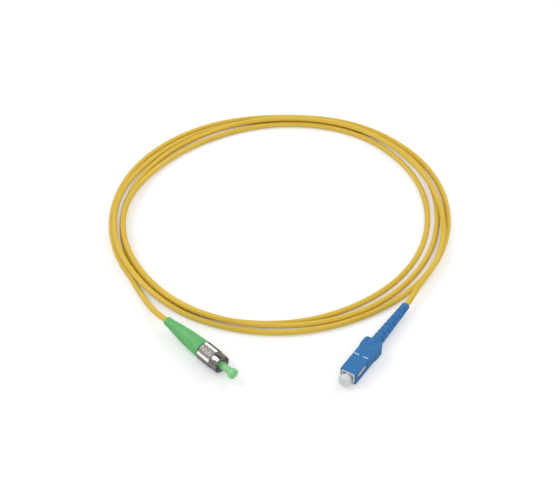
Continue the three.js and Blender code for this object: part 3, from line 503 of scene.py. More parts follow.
def bar(
    rear: float, front: float, width: float, height: float, rounding: float = 0.0,
    y: float = 0.0, z: float = 0.0,
) -> Piece:
    """A bar along the plug's axis, its long edges rounded."""
    return lofted([section(x, width, height, rounding, y, z) for x in (rear, front)])


def combined(piece: Piece, operation: str, others: Iterable[Piece]) -> Piece:
    """The piece joined with or cut by others, which are used up."""
    for other in others:
        modifier = piece.modifiers.new(operation, "BOOLEAN")
        modifier.operation = operation
        modifier.solver = "EXACT"
        modifier.object = other
        piece = baked(piece)
        bpy.data.objects.remove(other)
    return piece


def redrawn(piece: Piece, new_radius: Callable[[float, float, float], float]) -> Piece:
    """A turned piece with each point at a new radius, found from its x, its radius and its angle."""
    for vertex in piece.data.vertices:
        x, y, z = vertex.co
        r = math.hypot(y, z)
        share = new_radius(x, r, math.atan2(z, y)) / r
        vertex.co.yz = (y * share, z * share)
    return piece


def softened(piece: Piece, width: float, angle: float = 40.0) -> Piece:
    """The piece with its sharp edges rounded a little, and its flats shaded flat."""
    edges = piece.modifiers.new("edges", "BEVEL")
    edges.width = width
    edges.segments = 3
    edges.limit_method = "ANGLE"
    edges.angle_limit = math.radians(angle)
    edges.use_clamp_overlap = False
    return flattened(baked(piece), angle)


def flattened(piece: Piece, angle: float = 40.0) -> Piece:
    """The piece without faces of no size, and with its flats shaded flat."""
    mesh = bmesh.new()
    mesh.from_mesh(piece.data)
    bmesh.ops.remove_doubles(mesh, verts=mesh.verts, dist=WELD)
    bmesh.ops.dissolve_degenerate(mesh, edges=mesh.edges, dist=WELD)
    mesh.to_mesh(piece.data)
    mesh.free()
    flats = smoothed(piece, angle).modifiers.new("flats", "WEIGHTED_NORMAL")
    flats.keep_sharp = True
    return baked(piece)


# ------------------------------------------------------------------ finishes
def linear(colour: Colour) -> tuple[float, float, float, float]:
    """A colour as the eye sees it, in the values that shaders take."""
    shares = (value / 255 for value in colour)
    return (*(s / 12.92 if s <= 0.04045 else ((s + 0.055) / 1.055) ** 2.4 for s in shares), 1.0)


def shaded(data: bpy.types.ID) -> Graph:
    """The emptied node tree of a material or a world."""
    data.use_nodes = True
    return Graph(data.node_tree)


def effect(name: str, sizes: str, results: str) -> tuple[Graph, SimpleNamespace]:
    """A new shader group, which takes a place and named sizes: its graph and its inputs."""
    tree = bpy.data.node_groups.new(name, "ShaderNodeTree")
    sockets(tree, "INPUT", "Vector", "vector")
    sockets(tree, "INPUT", "Float", sizes)
    sockets(tree, "OUTPUT", "Float", results)
    g = Graph(tree)
    return g, g.given()


@functools.cache
def moulded_skin() -> Tree:
    """A shader group for moulded plastic: a slow drift of tone, and the fine grain of the mould."""
    g, given = effect("Moulded skin", "drift_size grain_size", "drift grain")
    slow = g.noise(given.vector, 1.0 / given.drift_size, 3.0)
    fine = g.noise(given.vector, 1.0 / given.grain_size)
    g.add("NodeGroupOutput", {"Drift": slow.spread(0.3, 0.7), "Grain": fine})
    return g.tree


@functools.cache
def lathe_marks() -> Tree:
    """A shader group for turned metal: rings left by the tool, and patches rubbed smoother."""
    g, given = effect("Lathe marks", "ring_size", "rings rubbed")
    rings = g.noise(g.vector(g.parts(given.vector)[0]), 1.0 / given.ring_size, 3.0)
    patches = g.noise(given.vector, 0.9, 4.0)
    g.add("NodeGroupOutput", {"Rings": rings, "Rubbed": patches.spread(0.35, 0.65)})
    return g.tree


@dataclass(frozen=True)
class Finish:
    """What all finishes have."""

    name: str
    colour: Colour
    second: Colour  # where the tone drifts to
    roughness: float

    def make(self) -> bpy.types.Material:
        """The material. Its surface starts from each point's place on the plug in millimetres."""
        material = bpy.data.materials.new(self.name + "_finish")
        g = shaded(material)
        self.surface(g, g.attribute("own"))
        return material

    def end(self, g: Graph, tone: Wire, rough: Wire, height: Wire, depth: float, **fixed: object) -> None:
        """Joins the tone, the roughness and the relief to the shader.

        Args:
            g: the material's graph.
            tone: how far the colour has drifted, 0 to 1.
            rough: the roughness.
            height: the relief, 0 to 1.
            depth: the relief's depth in millimetres.
            **fixed: the shader's other sockets, with _ for a space.
        """
        relief = {"Height": height, "Distance": depth * MM, "Strength": 1.0}
        inputs = {
            "Base Color": g.mix(tone, linear(self.colour), linear(self.second)),
            "Roughness": rough,
            "Normal": g.get("ShaderNodeBump", relief),
        }
        inputs.update({label.replace("_", " "): value for label, value in fixed.items()})
        g.add("ShaderNodeOutputMaterial", {0: g.get("ShaderNodeBsdfPrincipled", inputs)})


@dataclass(frozen=True)
class Plastic(Finish):
    """Moulded plastic, from a matt boot to a milky cap."""

    grain: float = 0.004
    grain_size: float = 0.12
    drift_size: float = 3.0
    milky: float = 0.0  # share of light that enters and comes out again
    milky_depth: float = 1.0
    clear: float = 0.0  # share of light that goes through
    gloss: float = 0.5

    def surface(self, g: Graph, own: Wire) -> None:
        """Wires up the material."""
        inputs = {"Vector": own, "Drift Size": self.drift_size, "Grain Size": self.grain_size}
        drift, grain = g.all_of("ShaderNodeGroup", inputs, node_tree=moulded_skin())
        rough = drift.spread(0.0, 1.0, self.roughness - 0.03, self.roughness + 0.05)
        self.end(
            g, drift, rough, grain, self.grain,
            IOR=1.5,
            Specular_IOR_Level=self.gloss,
            Subsurface_Weight=self.milky,
            Subsurface_Radius=(1.0, 1.0, 1.0),
            Subsurface_Scale=self.milky_depth * MM,
            Transmission_Weight=self.clear,
        )


@dataclass(frozen=True)
class Metal(Finish):
    """Turned and plated metal."""

    marks: float = 0.002
    ring_size: float = 0.08

    def surface(self, g: Graph, own: Wire) -> None:
        """Wires up the material."""
        inputs = {"Vector": own, "Ring Size": self.ring_size}
        rings, rubbed = g.all_of("ShaderNodeGroup", inputs, node_tree=lathe_marks())
        rough = rubbed.spread(0.0, 1.0, self.roughness - 0.05, self.roughness + 0.05)
        self.end(g, rubbed, rough, rings, self.marks, Metallic=1.0)


@dataclass(frozen=True)
class Ceramic(Finish):
    """Ground zirconia, with the end of the glass fibre in the middle of its tip."""

    core: float = 0.0625  # radius of the fibre's end

    def surface(self, g: Graph, own: Wire) -> None:
        """Wires up the material."""
        _, y, z = g.parts(own)
        speckle = g.noise(own, 6.0, 3.0)
        rough = speckle.spread(0.3, 0.7, self.roughness, self.roughness + 0.08)
        fixed = {"IOR": 1.7, "Subsurface_Weight": 0.1, "Subsurface_Scale": 0.3 * MM}
        self.end(g, radius(y, z) < self.core, rough, speckle, 0.001, **fixed)


@dataclass(frozen=True)
class Jacket(Finish):
    """An extruded cable jacket: fine lines along it, and a slow drift of tone."""

    lines: float = 0.006
    gloss: float = 0.35

    def surface(self, g: Graph, own: Wire) -> None:
        """Wires up the material, by each point's place along the cable in place of its own."""
        y, z, _ = g.parts(g.attribute("around"))
        place = g.vector(g.attribute("along", "Fac"), y, z)
        drift = g.noise(place.stretched((0.02, 0.3, 0.3)), 1.0, 4.0).spread(0.35, 0.65)
        lines = g.noise(place.stretched((0.03, 2.4, 2.4)), 1.0, 3.0)
        rough = drift.spread(0.0, 1.0, self.roughness - 0.04, self.roughness + 0.06)
        self.end(
            g, drift, rough, lines, self.lines,
            IOR=1.5,
            Specular_IOR_Level=self.gloss,
            Subsurface_Weight=0.12,
            Subsurface_Radius=(1.0, 0.6, 0.2),
            Subsurface_Scale=0.5 * MM,
        )


@dataclass(frozen=True)
class Yarn(Finish):
    """Aramid yarn: bundles of fine strands that lie along the plug."""

    strands: int = 90

    def surface(self, g: Graph, own: Wire) -> None:
        """Wires up the material."""
        _, y, z = g.parts(own)
        turn = (z.to("ARCTAN2", y) + g.noise(own, 0.8) * 0.5) * self.strands
        fibrous = g.noise(own.stretched((0.4, 8.0, 8.0)), 1.0, 3.0)
        relief = turn.to("SINE").spread(-1.0, 1.0) * fibrous
        rough = fibrous.spread(0.3, 0.7, self.roughness - 0.1, self.roughness)
        self.end(g, relief, rough, relief, 0.04, Sheen_Weight=0.4, Sheen_Roughness=0.4)


FINISHES = (
    Jacket("jacket_yellow", (238, 204, 84), (230, 194, 72), 0.42),
    Plastic("boot_green", (113, 200, 121), (105, 191, 113), 0.42, milky=0.15, milky_depth=0.6),
    Plastic("cap_green", (158, 224, 160), (148, 217, 152), 0.3, milky=0.35, milky_depth=1.2, grain=0.002),
    Plastic("boot_blue", (58, 127, 190), (52, 119, 182), 0.42, milky=0.1, milky_depth=0.4),
    Plastic("grip_blue", (60, 129, 190), (54, 122, 183), 0.36, grain=0.003),
    Plastic("frame_white", (240, 244, 247), (232, 237, 241), 0.35, milky=0.2, milky_depth=0.6),
    Plastic("cap_clear", (240, 242, 243), (232, 235, 237), 0.28, milky=0.5, milky_depth=1.5, clear=0.15),
    Metal("nickel", (206, 202, 198), (188, 184, 180), 0.15),
    Metal("steel", (168, 170, 173), (150, 152, 156), 0.3),
    Metal("crimp_metal", (176, 172, 164), (156, 152, 145), 0.36),
    Ceramic("ceramic", (240, 238, 230), (90, 96, 104), 0.12),
    Plastic("guide_tube", (226, 224, 214), (214, 212, 202), 0.5, milky=0.4, milky_depth=0.5, clear=0.2),
    Plastic("fibre_buffer", (236, 238, 240), (226, 229, 232), 0.45, milky=0.2, milky_depth=0.3),
    Yarn("aramid", (222, 182, 62), (186, 142, 36), 0.7),
    Plastic("mark_paint", (176, 211, 244), (166, 204, 240), 0.5, grain=0.006),
)


@functools.cache
def finish(name: str) -> bpy.types.Material:
    """The material of a finish, made the first time that it is asked for."""
    return next(f for f in FINISHES if f.name == name).make()


# ------------------------------------------------------------------ placing
def joined(piece: Piece, body: str, slot: str, *nodes: str) -> Piece:
    """Lets a piece stand for its nodes and ride on its body."""
    if nodes:
        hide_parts(*nodes)
    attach(piece, body)
    faces, stands_for = len(piece.data.polygons), ", ".join(nodes) or "none"
    log.info("%s: %d faces, on %s, for %s", piece.name, faces, body, stands_for)
    return piece


@dataclass(frozen=True)
class Placement:
    """Where a plug lies: its front on plan, the way it points, and how high its axis is."""

    front: tuple[float, float]
    yaw: float
    height: float

    @property
    def matrix(self) -> Matrix:
        """From the plug's millimetres to the cord's metres."""
        turn = Matrix.Rotation(math.radians(self.yaw), 4, "Z")
        return Matrix.Scale(MM, 4) @ Matrix.Translation((*self.front, self.height)) @ turn

    def at(self, x: float) -> Vector:
        """A place on the plug's axis, in the cord's millimetres."""
        return self.matrix @ Vector((x, 0, 0)) / MM

    def settle(self, piece: Piece, name: str, look: str) -> Piece:
        """Names a piece, gives it its finish, and lays it in place.

        Args:
            piece: the piece, along the plug's own axis.
            name: its name.
            look: its finish, which looks up each point's place on the plug.

        Returns:
            The same piece.
        """
        piece.name = name
        mesh = piece.data
        mesh.name = name
        places = [0.0] * (3 * len(mesh.vertices))
        mesh.vertices.foreach_get("co", places)
        mesh.attributes.new("own", "FLOAT_VECTOR", "POINT").data.foreach_set("vector", places)
        mesh.transform(self.matrix)
        mesh.materials.clear()
        mesh.materials.append(finish(look))
        return piece

    def fit(self, node: str, piece: Piece, look: str, body: str = "cord") -> Piece:
        """Lays a piece in place for a node, on the body that it moves with."""
        return joined(self.settle(piece, node + "_piece", look), body, look, node)


# ------------------------------------------------------------------ what both plugs hold
@dataclass
class Innards:
    """The pieces that each plug holds, from the ferrule back to the crimped end of the cable."""

    prefix: str
    place: Placement
    lip: float  # rear face of the lip that stops the ferrule's collar
    body_rear: float  # rear face of the plug's body
    socket: float  # depth of the ferrule in its holder
    ferrule_length: float
    bore: float
    flange: float
    tip_angle: float = 0.0
    rear_body_finish: str = "nickel"
    travel: float = 1.0
    collar: float = 4.1
    tail: float = 2.3
    tail_length: float = 4.9
    wall: float = 0.85
    wire: float = 0.5
    curls: int = 7
    post: float = 3.1
    post_length: float = 6.6
    grooves: int = 4
    groove_depth: float = 0.15
    flange_length: float = 1.4
    yarn_wall: float = 0.3
    bundles: int = 18
    sleeve_wall: float = 0.45
    sleeve_tail: float = 4.2
    uncrimped: float = 0.9  # length left round at each end of the sleeve's wide part
    tube_wall: float = 0.25

    def __post_init__(self) -> None:
        """Works out where each piece starts and ends along the plug."""
        self.collar_front = self.lip - SEAT
        self.ferrule_rear = self.collar_front - self.socket
        self.tip = self.ferrule_rear + self.ferrule_length
        self.collar_rear = self.ferrule_rear - SEAT - self.wall
        self.tail_rear = self.collar_rear - self.tail_length
        self.spring_front = self.collar_rear - SEAT
        self.spring_rear = self.tail_rear - self.travel + 0.3
        self.spigot_front = self.spring_rear - SEAT
        self.flange_front = self.body_rear - SEAT
        self.flange_rear = self.flange_front - self.flange_length
        self.post_rear = self.flange_rear - self.post_length
        self.sleeve_step = self.post_rear - SEAT
        self.jacket_front = self.sleeve_step - 2 * SEAT
        self.fibre_rear = self.jacket_front + self.travel + SEAT
        self.sleeve_front = self.flange_rear - SEAT
        self.sleeve_rear = self.sleeve_step - self.sleeve_tail
        self.yarn = self.post / 2 + FIT + self.yarn_wall
        self.sleeve_bore = self.yarn + FIT
        self.neck_bore = JACKET_D / 2 + FIT

    def build(self, moving: str) -> None:
        """Builds every piece.

        Args:
            moving: the body that the ferrule and its holder ride on. The others ride on the cord.
        """
        made = (
            ("ferrule", self.ferrule, "ceramic", moving),
            ("ferrule_holder", self.holder, "nickel", moving),
            ("rear_body", self.rear_body, self.rear_body_finish, "cord"),
            ("guide_tube", self.guide_tube, "guide_tube", "cord"),
            ("buffered_fibre", self.buffered_fibre, "fibre_buffer", moving),
            ("aramid_yarn", self.yarn_sleeve, "aramid", "cord"),
            ("crimp_sleeve", self.crimp_sleeve, "crimp_metal", "cord"),
        )
        for what, draw, look, body in made:
            self.place.fit(f"{self.prefix}_{what}", draw(), look, body)
        piece = self.place.fit(f"{self.prefix}_spring", self.spring(), "steel")
        length = self.spring_front - self.spring_rear
        ahead = self.place.at(1) - self.place.at(0)
        keep = (length - self.travel) / length
        anchor = self.place.at(self.spring_rear) * MM
        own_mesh(piece)

    def ferrule(self) -> Piece:
        """The ceramic ferrule, its edge chamfered and its end polished, at an angle on one plug."""
        r = FERRULE_D / 2
        chamfer = 0.3 * r
        piece = turned([
            (self.ferrule_rear, 0), (self.ferrule_rear, r, 0.1), (self.tip - chamfer, r, 0.1),
            (self.tip, r - chamfer, 0.05), (self.tip, 0),
        ], FINE)
        if not self.tip_angle:
            return piece
        slope = math.radians(self.tip_angle)
        mesh = bmesh.new()
        mesh.from_mesh(piece.data)
        there = Vector((self.tip - (r - chamfer) * math.tan(slope), 0, 0))
        normal = Vector((math.cos(slope), 0, -math.sin(slope)))
        whole = [*mesh.verts, *mesh.edges, *mesh.faces]
        cut = bmesh.ops.bisect_plane(mesh, geom=whole, plane_co=there, plane_no=normal, clear_outer=True)
        edges = [e for e in cut["geom_cut"] if isinstance(e, bmesh.types.BMEdge)]
        bmesh.ops.contextual_create(mesh, geom=edges)
        bmesh.ops.recalc_face_normals(mesh, faces=mesh.faces)
        mesh.to_mesh(piece.data)
        mesh.free()
        return smoothed(piece, 20.0)

    def holder(self) -> Piece:
        """The collar and tail that carry the ferrule, with four notches in the collar."""
        collar, tail, socket = self.collar / 2, self.tail / 2, FERRULE_D / 2 + FIT
        throat, floor = BUFFER_D / 2 + RUN, self.ferrule_rear - SEAT
        piece = tube([
            (self.tail_rear, tail, 0.15), (self.collar_rear, tail), (self.collar_rear, collar, 0.15),
            (self.collar_front, collar, 0.15),
        ], [
            (self.tail_rear, throat, 0.1), (floor, throat), (floor, socket),
            (self.collar_front, socket, 0.1),
        ])
        notches = []
        for degrees in (45, 135, 225, 315):
            notch = bar(self.collar_rear - 0.5, self.collar_rear + 0.5, 1.0, 0.5, z=collar)
            notch.data.transform(Matrix.Rotation(math.radians(degrees), 4, "X"))
            notches.append(notch)
        return smoothed(combined(piece, "DIFFERENCE", notches))

    def spring(self) -> Piece:
        """The ferrule's spring."""
        start = linked("spring", bpy.data.meshes.new("spring"))
        piece = reshaped(
            start, spring_tree(), finish("steel"), curls=self.curls, mean_radius=(self.tail + self.bore) / 4,
            length=self.spring_front - self.spring_rear, wire=self.wire, rear=self.spring_rear,
        )
        return smoothed(piece, 60.0)

    def rear_body(self) -> Piece:
        """The spigot behind the spring, the flange, and the grooved crimp post."""
        spigot, post, flange = self.bore / 2 - FIT, self.post / 2, self.flange / 2
        pitch = self.post_length / (2 * self.grooves + 1)
        levels = (post, post - self.groove_depth)
        outer = [(self.post_rear, post, 0.1)]
        for i in range(2 * self.grooves):
            x = self.post_rear + (i + 1) * pitch
            outer += [(x, levels[i % 2], 0.05), (x, levels[1 - i % 2], 0.05)]
        outer += [
            (self.flange_rear, post), (self.flange_rear, flange, 0.15), (self.flange_front, flange, 0.15),
            (self.flange_front, spigot), (self.spigot_front, spigot, 0.2),
        ]
        guide = BUFFER_D / 2 + RUN + self.tube_wall + FIT
        wide = self.tail / 2 + RUN
        return tube(outer, [
            (self.post_rear, guide, 0.1), (self.flange_front, guide), (self.flange_front, wide),
            (self.spigot_front, wide, 0.15),
        ])

    def guide_tube(self) -> Piece:
        """The soft tube that guides the fibre through the rear body."""
        r = BUFFER_D / 2 + RUN
        ends = (self.post_rear, self.flange_front)
        return tube([(x, r + self.tube_wall, 0.08) for x in ends], [(x, r, 0.08) for x in ends])

    def buffered_fibre(self) -> Piece:
        """The last length of the buffered fibre, up to the ferrule."""
        r, front = BUFFER_D / 2, self.ferrule_rear - SEAT
        return turned([(self.fibre_rear, 0), (self.fibre_rear, r, 0.05), (front, r, 0.05), (front, 0)])

    def yarn_sleeve(self) -> Piece:
        """The yarn, folded back over the crimp post in a fringe of bundles."""
        rear, front, bore = self.post_rear + SEAT, self.sleeve_front - SEAT, self.post / 2 + FIT
        outer = [(rear, self.yarn, 0.1), (front, self.yarn, 0.1)]

        def bundled(x: float, r: float, angle: float) -> float:
            """The outside drawn in between the bundles, which swing a little as they run."""
            swing = self.bundles * (angle + 0.05 * math.sin(2.1 * x))
            return r * (1 - 0.03 * (0.5 + 0.5 * math.cos(swing))) if r > bore + FIT else r

        return redrawn(tube(outer, [(rear, bore), (front, bore)], 180, longest=0.3), bundled)

    def crimp_sleeve(self) -> Piece:
        """The sleeve crimped over the yarn, with the six flats that the tool leaves, and over the jacket."""
        neck, wide = self.neck_bore + self.sleeve_wall, self.sleeve_bore + self.sleeve_wall
        piece = tube([
            (self.sleeve_rear, neck, 0.2), (self.sleeve_step - self.sleeve_wall, neck, 0.2),
            (self.sleeve_step, wide, 0.2), (self.sleeve_front, wide, 0.15),
        ], [
            (self.sleeve_rear, self.neck_bore, 0.1), (self.sleeve_step, self.neck_bore),
            (self.sleeve_step, self.sleeve_bore), (self.sleeve_front, self.sleeve_bore, 0.1),
        ], 96, longest=0.4)
        flat = 0.93 * wide  # from the axis to each flat
        rear, front = self.sleeve_step + self.uncrimped, self.sleeve_front - self.uncrimped

        def crimped(x: float, r: float, angle: float) -> float:
            """The outside pressed down to the flats, clear of the ends."""
            off_flat = (angle + math.radians(30)) % math.radians(60) - math.radians(30)
            outside = r > self.sleeve_bore + 0.2 and rear < x < front
            return min(r, flat / math.cos(off_flat)) if outside else r

        return smoothed(redrawn(piece, crimped))

    def boot_bore(self, rear: float, front: float) -> list[tuple[float, ...]]:
        """A boot's bore from its rear: round the jacket, the sleeve's neck, and the sleeve."""
        jacket, around = JACKET_D / 2 + RUN, self.sleeve_wall + RUN
        neck, sleeve = self.neck_bore + around, self.sleeve_bore + around
        shoulder, step = self.sleeve_rear - SEAT, self.sleeve_step - self.sleeve_wall - SEAT
        steps = [(shoulder, jacket), (shoulder, neck), (step, neck), (step, sleeve), (front, sleeve)]
        return [(rear, jacket, 0.2), *steps]

    def cap_stem(self, opening: float, r: float, edge: float) -> list[tuple[float, ...]]:
        """A cap's blind bore over the ferrule, out to the rear edge of its stem."""
        bore, blind = FERRULE_D / 2 + FIT, self.tip + 0.3
        rear = opening + self.travel + SEAT
        return [(blind + bore / 2, 0), (blind, bore, 0.2), (rear, bore, 0.1), (rear, r, edge)]


# ------------------------------------------------------------------ the screw-nut plug
@dataclass
class ScrewPlug:
    """The plug with the knurled coupling nut, the green boot and the green cap."""

    place: Placement = Placement((-32.4, -15.9), -47.0, 5.0)
    nut: float = 10.0
    nut_length: float = 14.0
    nut_edge: float = 0.25
    ring: float = 9.5
    ring_length: float = 4.2
    groove: float = 0.5
    thread_bore: float = 7.7
    thread_rear: float = -5.8
    thread_pitch: float = 0.75
    thread_depth: float = 0.32
    rear_wall: float = 1.5
    knurls: int = 36
    knurl_depth: float = 0.3
    barrel: float = 6.2
    barrel_front: float = -1.2
    barrel_length: float = 17.8
    shoulder: float = 7.2
    shoulder_length: float = 1.1
    key_width: float = 2.0
    key_length: float = 4.2
    play: float = 1.2
    washer_length: float = 0.6
    cavity: float = 4.2
    lip: float = 1.0
    bore: float = 4.4
    boot_front: float = 9.5
    boot_rear: float = 4.8
    boot_length: float = 28.3
    boot_swell: float = 0.35
    cap_stem: float = 3.7
    cap_knob: float = 5.5
    cap_knob_length: float = 2.6
    cap_reach: float = 9.2

    def __post_init__(self) -> None:
        """Works out the stations along the plug."""
        self.lip_front = self.barrel_front - self.cavity
        self.lip_rear = self.lip_front - self.lip
        self.barrel_rear = self.barrel_front - self.barrel_length
        self.wall = -self.nut_length + self.rear_wall
        self.washer = (self.wall + SEAT, self.wall + SEAT + self.washer_length)
        self.shoulder_rear = self.washer[1] + SEAT + self.play
        self.boot_start = -self.nut_length - 2 * SEAT
        self.boot_end = self.boot_start - self.boot_length
        self.innards = Innards(
            "fc", self.place, self.lip_rear, self.barrel_rear, 2.1, 12.0, self.bore, self.barrel,
            tip_angle=8.0,
        )

    def build(self) -> None:
        """Builds every piece of the plug."""
        self.innards.build("fc_ferrule_set")
        fit = self.place.fit
        fit("fc_coupling_nut", self.coupling_nut(), "nickel", "fc_nut")
        fit("fc_nut_retaining_ring", self.retaining_ring(), "steel", "fc_ring")
        fit("fc_barrel", self.barrel_piece(), "nickel")
        fit("fc_boot", self.boot(), "boot_green")
        fit("fc_dust_cap", self.cap(), "cap_green", "fc_cap")

    def coupling_nut(self) -> Piece:
        """The nut: a smooth ring, a groove, the knurl, and the thread in its mouth."""
        rear, ring, edge = -self.nut_length, self.ring / 2, self.nut_edge
        root, neck = self.nut / 2 - self.knurl_depth, self.nut / 2 - 2 * self.knurl_depth
        knurl_front = -self.ring_length - self.groove
        bore, rear_bore = self.thread_bore / 2, self.barrel / 2 + RUN
        outer = [(rear, root - 0.15, 0.2)]
        for start, end in ((rear + edge, rear + 0.6), (knurl_front - 0.6, knurl_front - edge)):
            outer += [(x, root) for x in spaced(start, end, 0.06)]
        outer += [
            (knurl_front, root - 0.15, 0.1), (knurl_front, neck, 0.08), (-self.ring_length, neck, 0.08),
            (-self.ring_length, ring, 0.2), (-edge, ring, 0.2), (0, ring - edge, 0.1),
        ]
        inner = [
            (rear, rear_bore, 0.15), (self.wall, rear_bore, 0.05), (self.wall, bore),
            (self.thread_rear - 0.2, bore),
            *((x, bore - 0.1) for x in spaced(self.thread_rear, -0.6, 0.125)),
            (0, bore + edge, 0.1),
        ]
        piece = reshaped(
            tube(outer, inner, 12 * self.knurls), knurl_tree(), finish("nickel"),
            ribs=self.knurls, root_radius=root, rib_height=self.knurl_depth, knurl_rear=rear,
            knurl_front=knurl_front, bore_limit=bore + 0.35, thread_pitch=self.thread_pitch,
            thread_depth=self.thread_depth, thread_rear=self.thread_rear - 0.1, thread_front=-0.3,
        )
        return smoothed(piece, 30.0)

    def retaining_ring(self) -> Piece:
        """The ring that keeps the nut on the barrel."""
        radii = (self.thread_bore / 2 - RUN, self.barrel / 2 + RUN)
        return tube(*([(x, r, 0.1) for x in self.washer] for r in radii), FINE)

    def barrel_piece(self) -> Piece:
        """The barrel, open round the ferrule in front, with its shoulder and its key."""
        r, front, rear = self.barrel / 2, self.barrel_front, self.barrel_rear
        bore, lip, shoulder = self.bore / 2, FERRULE_D / 2 + 2 * FIT, self.shoulder / 2
        shoulder_front = self.shoulder_rear + self.shoulder_length
        piece = tube([
            (rear, r, 0.15), (self.shoulder_rear, r), (self.shoulder_rear, shoulder, 0.15),
            (shoulder_front, shoulder, 0.15), (shoulder_front, r), (front - 0.3, r, 0.2),
            (front, r - 0.3, 0.1),
        ], [
            (rear, bore, 0.1), (self.lip_rear, bore), (self.lip_rear, lip, 0.1), (self.lip_front, lip, 0.1),
            (self.lip_front, bore), (front, bore, 0.15),
        ], FINE)
        root, top, key_front = r - 0.4, r + 0.45, front - 0.3
        key = bar(key_front - self.key_length, key_front, self.key_width, top - root, z=(top + root) / 2)
        return smoothed(combined(piece, "UNION", [softened(key, 0.12)]))

    def boot(self) -> Piece:
        """The green boot, which swells a little between its thin rear and its front."""
        front, rear = self.boot_front / 2, self.boot_rear / 2
        outer = [(self.boot_end, rear - 0.45, 0.35), (self.boot_end + 0.45, rear, 0.4)]
        start, end = self.boot_end + 2.4, self.boot_start - 1.6
        for i in range(17):
            share = i / 16
            swell = self.boot_swell * math.sin(math.pi * share)
            outer.append((start + (end - start) * share, rear + (front - rear) * share + swell))
        outer += [(self.boot_start - 0.2, front, 0.25), (self.boot_start, front - 0.35, 0.2)]
        shoulder, barrel_bore = self.innards.flange_rear - SEAT, self.barrel / 2 + RUN
        bore = self.innards.boot_bore(self.boot_end, shoulder)
        return tube(outer, [*bore, (shoulder, barrel_bore), (self.boot_start, barrel_bore, 0.2)], FINE)

    def cap(self) -> Piece:
        """The green cap: a stem over the ferrule, a neck, and a round knob with a dished face."""
        stem, knob = self.cap_stem / 2, self.cap_knob / 2
        front, knob_rear = self.cap_reach, self.cap_reach - self.cap_knob_length
        return turned([
            *self.innards.cap_stem(self.lip_front, stem, 0.2),
            (knob_rear - 0.8, stem, 0.8), (knob_rear, stem + 0.15, 0.4), (knob_rear + 0.4, knob, 0.7),
            (front - 0.3, knob, 0.65), (front, knob - 0.6, 0.3), (front, knob * 0.68, 0.2),
            (front - 0.5, knob * 0.5, 0.3), (front - 0.5, 0),
        ], FINE, steps=8)


# ------------------------------------------------------------------ the push-pull plug
class Side(Enum):
    """The two sides of the push-pull plug, across its axis."""

    RIGHT = -1
    LEFT = 1


